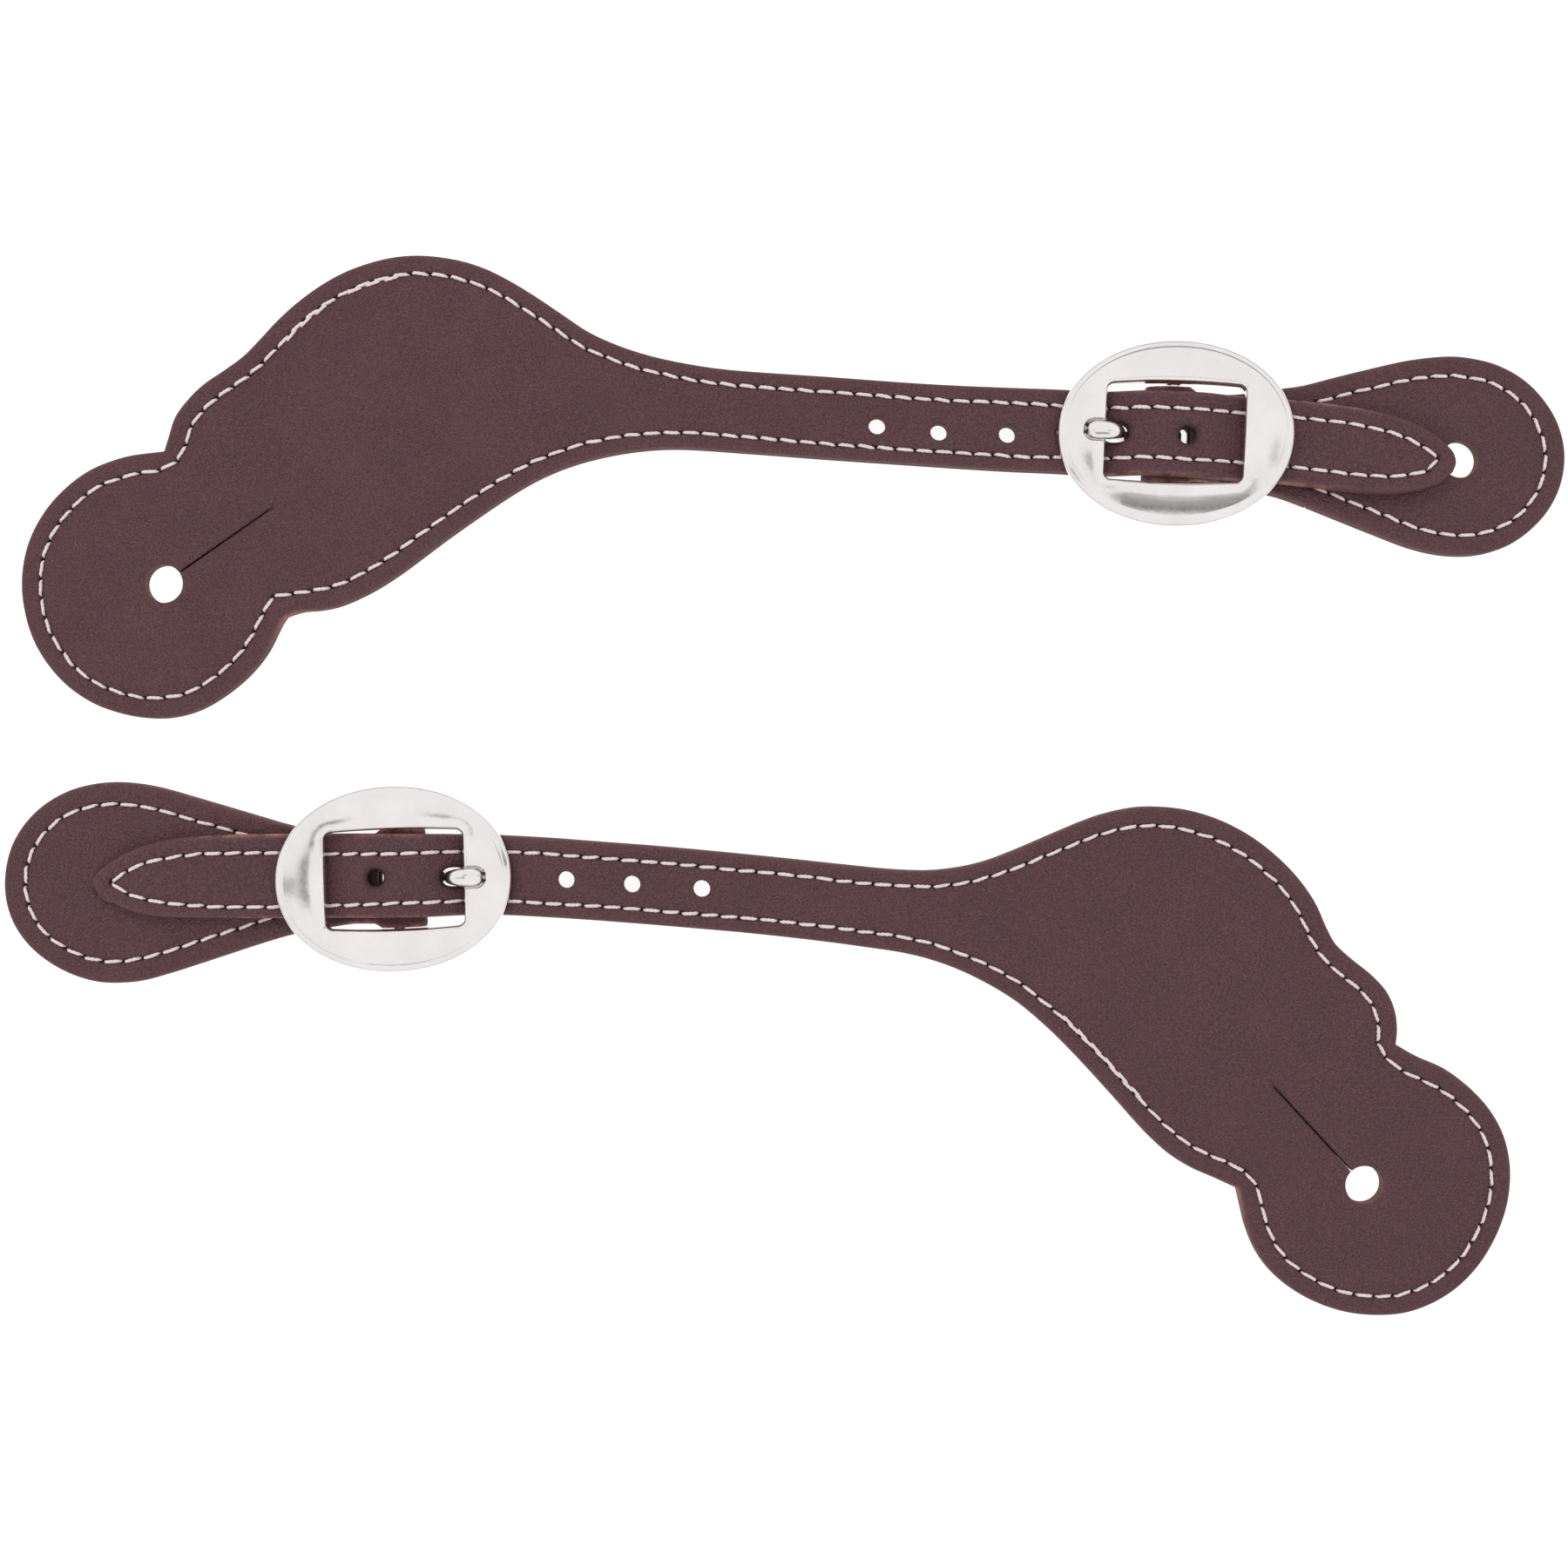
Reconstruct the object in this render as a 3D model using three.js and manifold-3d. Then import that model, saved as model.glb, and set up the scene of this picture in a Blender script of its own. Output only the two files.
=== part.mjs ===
// A pair of western spur straps, lying flat as a mirrored pair.
// Each strap is a long two-ply leather strap (a shaped wing with a buttonhole, a
// narrow strap with adjustment holes, and a pointed tongue) and a teardrop tab whose
// neck is folded round the centre bar of an oval buckle. Millimetres, +Z up,
// undersides on z = 0.
import * as THREE from 'three';
import { mergeVertices } from 'three/addons/utils/BufferGeometryUtils.js';
import Module from 'manifold-3d';

const wasm = await Module();
wasm.setup();

// ---------------------------------------------------------------- dimensions
const LINING = 1.6;            // lining ply
const FACE = 2.0;              // face ply
const PLY = LINING + FACE;     // whole strap
const GAP = 0.3;               // clearance at flex lines and between stacked parts
const THREAD_W = 0.9;          // sewn line, width over the leather
const THREAD_H = 0.25;        // less than GAP, so that it clears the tongue
const BUTTONHOLE_R = 4.5;      // spur button hole in the wing
const TABHOLE_R = 4.3;         // spur button hole in the tab
const SLIT_W = 0.5;
const HOLE_R = 2.4;            // adjustment hole
const BUCKLE_A = 25.7;         // half length of the oval frame
const BUCKLE_B = 20.5;         // half width of the oval frame
const BUCKLE_T = 3.6;          // frame thickness
const BUCKLE_LIFT = 6.5;       // underside of the frame over the bar
const BUCKLE_TILT = THREE.MathUtils.degToRad(5.4);
const WINDOW_U = 15.6;         // half length of the window
const WINDOW_V = 10.5;         // half width of the window
const WINDOW_BOW = 0.5;
const BAR_R = 1.2;
const BAR_Z = 2.8;             // height of the bar's centre
const BOSS_V = [11.4, 14.4];   // the two posts that carry the bar
const PRONG_W = 4.2;
const PRONG_T = 2.0;
const RING_RI = 1.5;
const RING_RO = 2.65;
const STRAP_RISE = 6.2;        // underside of the strap over the bar
const TONGUE_Z = 3.9;          // underside of the tongue on the tab
const FOLD_A = 6.4;            // how far the fold bulges past the bar
const NECK_HALF = 9.8;         // half width of the neck beside the fold
const SPLIT_STRAP = -45;       // flex line between strap and billet, along the buckle's axis
const SPLIT_TONGUE = 27.5;     // flex line of the tongue, just clear of the right rim
const LEAF_END = 31;           // end of the short leaf that the tab's fold returns under the neck
const SHIFT = [-0.13, 0.32];    // brings the box's centre to the origin

const P = (a) => a.map(([x, y]) => new THREE.Vector3(x, y, 0));

// Outline stations of the two straps. side: which strap; bar: bar centre; dir: direction
// from the bar to the tab, in degrees.
const STRAPS = [
  {
    side: 'left', bar: [86.5, 77.4], dir: -2.6, mirror: false,
    // upper edge of strap and wing, from the billet to the upper notch
    edgeA: [[41.6, 88.85], [31.1, 89.4], [9, 91.0], [-13.0, 92.6], [-21.3, 93.8], [-29.3, 95.5], [-36.6, 97.8], [-43.7, 101.0], [-50, 105.2], [-56.3, 109.4], [-62.2, 112.9], [-67.0, 115.2], [-72.9, 117.0], [-81.0, 118.0], [-87.2, 117.6], [-93.0, 116.2], [-98.5, 114.1], [-103.8, 111.1], [-109.3, 107.0], [-113.6, 103.0], [-117.2, 99.1], [-120.9, 95.4], [-125, 92.4], [-129.4, 89.4], [-132.6, 86.4], [-135.9, 82.0], [-137.5, 77.2], [-138.4, 74.3]],
    // round end of the wing, from the upper to the lower notch
    edgeB: [[-138.4, 74.3], [-146.1, 73.3], [-151.4, 71.7], [-155.3, 69.9], [-159.5, 66.9], [-164.0, 62.3], [-167.4, 56.9], [-169.4, 51.4], [-170.2, 44.9], [-169.6, 38.8], [-167.7, 32.4], [-164.4, 26.7], [-159.8, 21.7], [-154.2, 18.0], [-148.1, 15.8], [-142.4, 14.8], [-136.7, 14.9], [-130.6, 16.6], [-124.8, 20.0], [-119.5, 24.5], [-115.6, 29.4], [-112.2, 36.0], [-111.2, 37.4]],
    // lower edge, from the lower notch to the billet
    edgeC: [[-111.2, 37.4], [-107.6, 38.5], [-103.4, 38.9], [-99.0, 39.9], [-92.7, 42.7], [-86.5, 46.5], [-74.2, 55.6], [-60.9, 64.7], [-54.4, 68.4], [-47.0, 71.4], [-38.4, 73.6], [-30.6, 74.7], [-23.5, 75.0], [-6, 73.9], [10, 72.7], [40.8, 70.6]],
    // billet: upper edge out to the tongue's tip and back along the lower edge
    billetTop: [[41.6, 88.85], [52, 88.45], [62.4, 88.05], [70, 87.55], [79.3, 86.8], [90, 86.25], [99.4, 85.75], [106, 85.4], [112.2, 84.9], [120, 84.1], [127.7, 83.0], [134.75, 81.4], [141.35, 78.8], [145.8, 75.7]],
    billetTip: [[145.8, 75.7], [148.0, 73.3], [148.6, 71.0], [147.9, 69.0]],
    billetBottom: [[147.9, 69.0], [145.3, 66.8], [141.35, 65.3], [134.75, 64.3], [127.7, 64.6], [121.5, 65.3], [109.6, 66.65], [99.4, 67.3], [86, 67.95], [70.2, 68.85], [62, 69.5], [50, 70.05], [40.8, 70.6]],
    // tab outline beyond the neck, from its upper to its lower edge
    tab: [[115.5, 88.9], [123.4, 90.9], [131.2, 92.8], [140.0, 94.7], [148.9, 95.5], [153.8, 95.0], [158.6, 93.8], [163.2, 91.6], [166.9, 88.8], [169.9, 85.4], [172.3, 81.5], [173.8, 77.1], [174.3, 72.9], [173.8, 68.4], [172.4, 64.2], [170.0, 60.2], [166.6, 56.6], [163.2, 54.1], [159.6, 52.4], [155.4, 51.3], [151.0, 51.0], [146.1, 51.4], [140.2, 52.8], [132, 55.9], [124, 59.1], [116.0, 62.3]],
    neckV: [12.0, -11.9], fold: [10.9, -10.3], stitchTab: 4.4,
    // sewn line to edge along x, on the upper and on the lower edge
    sewTop: [[-93, 4.35], [-38, 3.55], [50, 3.55], [70, 3.85], [138, 3.85], [148, 3.6]],
    sewLow: [[-93, 4.35], [-38, 3.5], [-10, 3.25], [16, 3.05], [56, 3.05], [66, 3.55], [148, 3.6]],
    holes: [[20.8, 80.0], [34.6, 78.6], [49.9, 78.1], [62.9, 78.4], [88.3, 76.7]],
    wingHole: [-138.4, 44.7], wingSlit: [-115.0, 61.0],
    tabHole: [150.3, 72.5], tabSlit: [127.0, 74.9],
    wingFlex: [-21.4, 84.4], wingFlexDir: -3.8,
  },
  {
    side: 'right', bar: [-86.2, -21.0], dir: 181.5, mirror: true,
    edgeA: [[-41.4, -12.9], [-25.9, -14.1], [0, -16.6], [14, -18.1], [24.6, -19.1], [32.7, -19.3], [39.6, -18.5], [45, -17.2], [50.9, -15.0], [60.5, -10.9], [66.2, -8.5], [71.3, -6.7], [78.6, -5.2], [84.0, -5.1], [89.4, -5.7], [94.2, -6.9], [99.3, -8.9], [105.1, -12.2], [110.5, -16.5], [115, -21.2], [118.7, -26.6], [121.3, -32.4], [123.1, -35.6], [126.1, -38.5], [131.6, -43.0], [134.8, -46.7], [136.5, -51.0], [136.9, -54.9], [136.6, -58.2]],
    edgeB: [[136.6, -58.2], [141.2, -60.8], [147.6, -63.7], [153.4, -68.1], [157.7, -72.9], [160.6, -78.3], [162.0, -84.3], [162.0, -90.3], [160.9, -95.9], [158.5, -101.9], [155.1, -107.4], [150.3, -112.4], [144.6, -116.0], [138.5, -118.1], [131.9, -118.6], [125.4, -117.9], [119.4, -116.0], [113.6, -112.9], [108.7, -108.8], [105.5, -104.3], [103.3, -99.0], [102.1, -94.2], [101.2, -90.3]],
    edgeC: [[101.2, -90.3], [96.0, -87.9], [91.2, -85.8], [86.4, -82.9], [81.4, -78.5], [73, -69.2], [65.1, -60.6], [58.2, -53.8], [51.4, -48.2], [43.0, -43.3], [35.5, -40.1], [27.6, -37.9], [18, -36.4], [7.5, -35.0], [-6.9, -33.4], [-25, -31.8], [-41.2, -30.5]],
    billetTop: [[-41.4, -12.9], [-52, -12.1], [-62.8, -11.5], [-71, -11.25], [-85, -11.0], [-99.4, -11.0], [-109.5, -11.1], [-118, -11.2], [-126.7, -11.45], [-134.2, -12.0], [-139.6, -13.1], [-144.8, -14.9], [-149.4, -17.6]],
    billetTip: [[-149.4, -17.6], [-151.9, -19.7], [-152.9, -21.7], [-152.0, -23.6]],
    billetBottom: [[-152.0, -23.6], [-149.9, -25.4], [-146.6, -27.2], [-141.3, -28.9], [-135.6, -29.5], [-128.9, -29.6], [-122.3, -29.65], [-111.3, -29.65], [-99.4, -29.5], [-85, -29.35], [-71, -29.2], [-62.8, -29.25], [-52, -29.8], [-41.2, -30.5]],
    tab: [[-118.2, -7.0], [-129, -3.8], [-139.6, -0.8], [-144.7, 0.1], [-149.4, 0.4], [-154.6, -0.1], [-159.4, -1.4], [-163.9, -3.7], [-167.3, -6.4], [-170.2, -9.8], [-172.4, -13.8], [-173.6, -18.1], [-174.0, -22.4], [-173.5, -26.8], [-172.1, -30.9], [-169.8, -34.6], [-166.5, -38.0], [-162.3, -40.9], [-157.7, -43.0], [-153.1, -44.2], [-148.2, -44.4], [-143.3, -43.9], [-137.6, -42.4], [-124, -38.0], [-117, -35.7]],
    neckV: [12.4, -12.0], fold: [10.9, -10.9], stitchTab: 4.8,
    sewTop: [[-152, 3.5], [-140, 3.8], [-125, 3.95], [-112, 4.1], [-100, 4.45], [-88, 4.4], [-79, 4.0], [-70, 3.7], [-60, 3.55], [38, 3.55], [93, 4.35]],
    sewLow: [[-152, 3.5], [-145, 3.35], [-136, 3.1], [-130, 2.8], [-125, 2.5], [-118, 2.5], [-100, 2.75], [-90, 3.0], [-83, 3.2], [-75, 3.3], [-58, 3.2], [-29, 3.2], [0, 3.4], [38, 3.55], [93, 4.35]],
    holes: [[-48.7, -21.4], [-34.0, -22.4], [-18.4, -23.4], [-63.0, -20.6], [-89.4, -20.6]],
    wingHole: [129.5, -89.5], wingSlit: [109.4, -67.7],
    tabHole: [-150.7, -21.7], tabSlit: [-127.0, -21.0],
    wingFlex: [21.7, -27.9], wingFlexDir: 173.5,
  },
];

// ---------------------------------------------------------------- helpers
const rad = THREE.MathUtils.degToRad;

function solid(geometry) {
  const g = geometry.clone();
  g.deleteAttribute('normal');
  g.deleteAttribute('uv');
  const m = mergeVertices(g, 1e-5);
  return new wasm.Manifold(new wasm.Mesh({
    numProp: 3,
    vertProperties: new Float32Array(m.attributes.position.array),
    triVerts: new Uint32Array(m.index.array),
  }));
}

function toGeometry(man) {
  const mesh = man.getMesh();
  const g = new THREE.BufferGeometry();
  const n = mesh.numProp;
  const v = new Float32Array((mesh.vertProperties.length / n) * 3);
  for (let i = 0, j = 0; i < mesh.vertProperties.length; i += n) {
    v[j++] = mesh.vertProperties[i];
    v[j++] = mesh.vertProperties[i + 1];
    v[j++] = mesh.vertProperties[i + 2];
  }
  g.setAttribute('position', new THREE.BufferAttribute(v, 3));
  g.setIndex(Array.from(mesh.triVerts));
  g.computeVertexNormals();
  return g;
}

// Moves a geometry by a matrix, and turns its faces round if the matrix mirrors.
function place(geometry, matrix) {
  let g = geometry.clone();
  g.deleteAttribute('normal');
  g.deleteAttribute('uv');
  g = mergeVertices(g, 1e-5);
  g.applyMatrix4(matrix);
  if (matrix.determinant() < 0) {
    const a = g.index.array;
    for (let i = 0; i < a.length; i += 3) { const t = a[i]; a[i] = a[i + 1]; a[i + 1] = t; }
  }
  return g;
}

// Evenly spaced points along a smooth curve through the stations.
function smooth(stations, step) {
  const curve = new THREE.CatmullRomCurve3(P(stations), false, 'centripetal');
  const n = Math.max(2, Math.round(curve.getLength() / step));
  return curve.getSpacedPoints(n).map((p) => [p.x, p.y]);
}

function join(...parts) {
  const out = [];
  for (const part of parts) {
    for (const p of part) {
      const q = out[out.length - 1];
      if (!q || Math.hypot(q[0] - p[0], q[1] - p[1]) > 0.05) out.push(p);
    }
  }
  const a = out[0], b = out[out.length - 1];
  if (Math.hypot(a[0] - b[0], a[1] - b[1]) < 0.05) out.pop();
  return out;
}

function area(poly) {
  let s = 0;
  for (let i = 0; i < poly.length; i++) {
    const [x0, y0] = poly[i], [x1, y1] = poly[(i + 1) % poly.length];
    s += x0 * y1 - x1 * y0;
  }
  return s / 2;
}

function prism(poly, z0, z1) {
  const pts = area(poly) > 0 ? poly : poly.slice().reverse();
  const shape = new THREE.Shape(pts.map(([x, y]) => new THREE.Vector2(x, y)));
  const g = new THREE.ExtrudeGeometry(shape, { depth: z1 - z0, bevelEnabled: false });
  g.translate(0, 0, z0);
  return g;
}

function circle(c, r, n = 16) {
  const out = [];
  for (let i = 0; i < n; i++) {
    const t = (2 * Math.PI * i) / n;
    out.push([c[0] + r * Math.cos(t), c[1] + r * Math.sin(t)]);
  }
  return out;
}

// A round hole with a slit running from it to a point.
function keyhole(c, r, tip) {
  const dx = tip[0] - c[0], dy = tip[1] - c[1], L = Math.hypot(dx, dy);
  const ux = dx / L, uy = dy / L, h = SLIT_W / 2;
  const a0 = Math.atan2(uy, ux), da = Math.asin(h / r), n = 20;
  const out = [[tip[0] + h * uy, tip[1] - h * ux], [tip[0] - h * uy, tip[1] + h * ux]];
  for (let i = 0; i <= n; i++) {
    const t = a0 + da + ((2 * Math.PI - 2 * da) * i) / n;
    out.push([c[0] + r * Math.cos(t), c[1] + r * Math.sin(t)]);
  }
  return out;
}

function step01(t) { t = Math.min(1, Math.max(0, t)); return t * t * (3 - 2 * t); }

// Height of the strap's underside along the buckle's axis.
function strapLow(u) {
  if (u < 0) return STRAP_RISE * step01((u + 19) / 15);
  return STRAP_RISE + (TONGUE_Z - STRAP_RISE) * step01((u - 4) / 12.5);
}
const FOLD_TOP = 5.6, FOLD_IN = 4.15;
function neckTop(u) { return FOLD_TOP + (PLY - FOLD_TOP) * step01((u - 4) / 12.5); }
function neckLow(u) { return FOLD_IN + (LINING - FOLD_IN) * step01((u - 4) / 12.5); }

const U_STATIONS = [-60, -19, -17.5, -16, -14, -12, -10, -8, -6, -4, 4, 6.1, 8.2, 10.25, 12.3, 14.4, 16.5, 80];

// A sheet that follows the strap over the bar, between two offsets from its underside.
function strapSheet(lo, hi) {
  const pts = [];
  for (const u of U_STATIONS) pts.push([u, strapLow(u) + lo]);
  for (const u of U_STATIONS.slice().reverse()) pts.push([u, strapLow(u) + hi]);
  return pts;
}

// Side profile (u, z) extruded across the buckle's axis from v0 to v1.
function sideSolid(profile, v0, v1) {
  const g = prism(profile, 0, v1 - v0);            // x = u, y = z, z = thickness
  const m = new THREE.Matrix4().set(
    1, 0, 0, 0,
    0, 0, -1, v1,
    0, 1, 0, 0,
    0, 0, 0, 1);                                    // v = v1 - thickness, z = y
  return place(g, m);
}

// Path at a distance inside a closed outline; points nearer to the edge are dropped. The
// distance is a function of the point on the outline.
function inset(poly, distance) {
  const ccw = area(poly) > 0 ? 1 : -1, n = poly.length, out = [];
  const segDist = (p) => {
    let best = 1e9;
    for (let i = 0; i < n; i++) {
      const a = poly[i], b = poly[(i + 1) % n];
      const dx = b[0] - a[0], dy = b[1] - a[1], L2 = dx * dx + dy * dy;
      const t = Math.min(1, Math.max(0, ((p[0] - a[0]) * dx + (p[1] - a[1]) * dy) / L2));
      best = Math.min(best, Math.hypot(p[0] - a[0] - t * dx, p[1] - a[1] - t * dy));
    }
    return best;
  };
  for (let i = 0; i < n; i++) {
    const a = poly[(i + n - 1) % n], b = poly[(i + 1) % n];
    const dx = b[0] - a[0], dy = b[1] - a[1], L = Math.hypot(dx, dy);
    const d = distance(poly[i]);
    const q = [poly[i][0] - ccw * (dy / L) * d, poly[i][1] + ccw * (dx / L) * d];
    if (segDist(q) > d * 0.97) out.push(q);
  }
  return out;
}

// A ring-shaped band of thread width around an inset path, as a closed solid.
function threadRing(poly, distance, z0, z1) {
  const outer = inset(poly, (p) => distance(p) - THREAD_W / 2), inner = inset(poly, (p) => distance(p) + THREAD_W / 2);
  return solid(prism(outer, z0, z1)).subtract(solid(prism(inner, z0 - 1, z1 + 1)));
}

const COLORS = { leather: 0x5c4347, lining: 0x6b4a45, thread: 0xebe1e1, steel: 0xd9d5d3 };
const group = new THREE.Group();

function add(name, man, kind) {
  const metal = kind === 'steel';
  const material = new THREE.MeshStandardMaterial({
    color: COLORS[kind], roughness: metal ? 0.28 : kind === 'thread' ? 0.8 : 0.55, metalness: metal ? 1 : 0,
  });
  const mesh = new THREE.Mesh(toGeometry(man), material);
  mesh.name = name;
  group.add(mesh);
}

// ---------------------------------------------------------------- one strap
function buildStrap(S) {
  const a = rad(S.dir), eu = [Math.cos(a), Math.sin(a)];
  const ev = S.mirror ? [Math.sin(a), -Math.cos(a)] : [-Math.sin(a), Math.cos(a)];
  const local = new THREE.Matrix4().set(
    eu[0], ev[0], 0, S.bar[0],
    eu[1], ev[1], 0, S.bar[1],
    0, 0, 1, 0,
    0, 0, 0, 1);
  const toWorld = ([u, v]) => [S.bar[0] + u * eu[0] + v * ev[0], S.bar[1] + u * eu[1] + v * ev[1]];
  const L = (geometry) => solid(place(geometry, local));
  const slab = (u0, u1) => L(prism([[u0, -140], [u1, -140], [u1, 140], [u0, 140]], -5, 30));
  const h = GAP / 2;

  // half planes at the wing's flex line
  const fa = rad(S.wingFlexDir), fe = [Math.cos(fa), Math.sin(fa)];
  const flexSlab = (s0, s1) => {
    const c = S.wingFlex, n = [-fe[1], fe[0]], w = 200;
    const pt = (s, t) => [c[0] + s * fe[0] + t * n[0], c[1] + s * fe[1] + t * n[1]];
    return solid(prism([pt(s0, -w), pt(s1, -w), pt(s1, w), pt(s0, w)], -5, 30));
  };

  // --- outlines
  const A = smooth(S.edgeA, 4.5), B = smooth(S.edgeB, 4.5), C = smooth(S.edgeC, 5);
  const bt = smooth(S.billetTop, 5), tip = smooth(S.billetTip, 1.6), bb = smooth(S.billetBottom, 5);
  const longOutline = join(A, B, C);
  const billetOutline = join(bt, tip, bb);
  // whole perimeter of the long strap, for its sewn line
  const whole = join(A, B, C, bb.slice().reverse(), tip.slice().reverse(), bt.slice().reverse());
  // the loop round the bar is a little wider than the neck beside it
  const neckUp = [[-8, S.fold[0]], [3.4, S.fold[0]], [4.6, NECK_HALF], [10, NECK_HALF], [16, 10.6], [24, S.neckV[0]]].map(toWorld);
  const neckDown = [[24, S.neckV[1]], [16, -10.8], [10, -NECK_HALF - 0.2], [4.6, -NECK_HALF - 0.2], [3.4, S.fold[1]], [-8, S.fold[1]]].map(toWorld);
  const tabOutline = join(neckUp.slice(0, 4), smooth([...neckUp.slice(3), ...S.tab, ...neckDown.slice(0, 3)], 4.5), neckDown.slice(2));

  // --- wing and strap, face and lining plies
  const wingSide = flexSlab(-400, -h), strapSide = flexSlab(h, 400);
  const beforeBillet = slab(-400, SPLIT_STRAP - h);
  const billetPart = slab(SPLIT_STRAP + h, SPLIT_TONGUE - h), tonguePart = slab(SPLIT_TONGUE + h, 200);
  const keyW = solid(prism(keyhole(S.wingHole, BUTTONHOLE_R, S.wingSlit), -1, 6));
  const holeCut = (c) => solid(prism(circle(c, HOLE_R, 14), -1, 20));
  const cuts = S.holes.map(holeCut);

  // the outline runs 1 mm on past the billet's flex line so that the cut is a clean plane
  const ext = join([toWorld([SPLIT_STRAP + 3, 9.1])], A, B, C, [toWorld([SPLIT_STRAP + 3, -9.1])]);
  for (const [ply, z0, z1, kind] of [['face', LINING, PLY, 'leather'], ['lining', 0, LINING, 'lining']]) {
    const body = solid(prism(ext, z0, z1));
    add(`${S.side}_wing_${ply}`, body.intersect(wingSide).subtract(keyW), kind);
    let strap = body.intersect(strapSide).intersect(beforeBillet);
    for (const c of cuts) strap = strap.subtract(c);
    add(`${S.side}_strap_${ply}`, strap, kind);
  }

  // --- billet: runs under the left rim, over the folded neck and the bar, under the
  // right rim, and lies as a pointed tongue on the tab
  const be = join([toWorld([SPLIT_STRAP - 3, 9.1])], bt, tip, bb, [toWorld([SPLIT_STRAP - 3, -9.1])]);
  const billetPlan = solid(prism(be, -1, 25));
  const prongHole = L(prism([[-15.7, -1.2], [-14.6, -2.4], [-10.2, -2.5], [-8.9, -1.6], [-8.9, 1.6], [-10.2, 2.5], [-14.6, 2.4], [-15.7, 1.2]], -1, 20));
  for (const [ply, lo, hi, kind] of [['face', LINING, PLY, 'leather'], ['lining', 0, LINING, 'lining']]) {
    const whole = billetPlan.intersect(L(sideSolid(strapSheet(lo, hi), -60, 60)));
    let m = whole.intersect(billetPart).subtract(prongHole);
    for (const c of cuts) m = m.subtract(c);
    add(`${S.side}_billet_${ply}`, m, kind);
    add(`${S.side}_tongue_${ply}`, whole.intersect(tonguePart), kind);
  }

  // --- buckle frame: a domed oval with a window, two posts and the centre bar
  const profile = [[0, 0], [0.985, 0], [1.0, 0.5], [0.985, 1.3], [0.93, 2.3], [0.84, 3.1], [0.72, 3.55], [0.6, BUCKLE_T], [0, BUCKLE_T]];
  const dome = new THREE.LatheGeometry(profile.map(([r, z]) => new THREE.Vector2(r, z)), 44);
  dome.rotateX(Math.PI / 2);                    // lathe axis to +Z
  dome.scale(BUCKLE_A, BUCKLE_B, 1);
  const win = [];
  for (let i = 0; i <= 8; i++) {
    const s = -1 + (2 * i) / 8;
    win.push([s * (WINDOW_U - 1.2), -(WINDOW_V + WINDOW_BOW * (1 - s * s))]);
  }
  win.push([WINDOW_U, -WINDOW_V + 1.2], [WINDOW_U, WINDOW_V - 1.2]);
  for (let i = 8; i >= 0; i--) {
    const s = -1 + (2 * i) / 8;
    win.push([s * (WINDOW_U - 1.2), WINDOW_V + WINDOW_BOW * (1 - s * s)]);
  }
  win.push([-WINDOW_U, WINDOW_V - 1.2], [-WINDOW_U, -WINDOW_V + 1.2]);
  let frame = solid(dome).subtract(solid(prism(win, -2, 8)));
  const notch = new THREE.BoxGeometry(6.2, 5.0, 6); // seat for the prong's tip
  notch.translate(-WINDOW_U - 2.2, 0, 1.1 + 3);
  frame = frame.subtract(solid(notch));
  const tilt = new THREE.Matrix4().makeRotationY(-BUCKLE_TILT);
  tilt.premultiply(new THREE.Matrix4().makeTranslation(0, 0, BUCKLE_LIFT));
  frame = solid(place(toGeometry(frame), tilt));
  for (const s of [-1, 1]) {
    const post = new THREE.BoxGeometry(4.4, BOSS_V[1] - BOSS_V[0], 6.6);
    post.translate(0, (s * (BOSS_V[0] + BOSS_V[1])) / 2, 1.4 + 3.3);
    frame = frame.add(solid(post));
  }
  const bar = new THREE.CylinderGeometry(BAR_R, BAR_R, 2 * BOSS_V[0] + 3, 16);
  bar.translate(0, 0, 0);
  const barM = new THREE.Matrix4().makeTranslation(0, 0, BAR_Z);
  frame = frame.add(solid(place(bar, barM)));
  add(`${S.side}_buckle_frame`, L(toGeometry(frame)), 'steel');

  // --- prong: an eye round the bar and a cranked shank whose tip sits in the notch
  const eye = [];
  const ring = new THREE.Shape(circle([0, BAR_Z], RING_RO, 20).map(([x, y]) => new THREE.Vector2(x, y)));
  ring.holes.push(new THREE.Path(circle([0, BAR_Z], RING_RI, 16).reverse().map(([x, y]) => new THREE.Vector2(x, y))));
  const ringG = new THREE.ExtrudeGeometry(ring, { depth: PRONG_W, bevelEnabled: false });
  const toSide = new THREE.Matrix4().set(1, 0, 0, 0, 0, 0, -1, PRONG_W / 2, 0, 1, 0, 0, 0, 0, 0, 1);
  eye.push(solid(place(ringG, toSide)));
  const path = new THREE.CatmullRomCurve3([[-2.05, 2.35], [-5, 1.85], [-8, 1.8], [-10.5, 3.2], [-13, 5.6], [-15.5, 7.5], [-17.5, 8.05], [-20.2, 7.95]].map(([u, z]) => new THREE.Vector3(u, 0, z)), false, 'centripetal');
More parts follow.
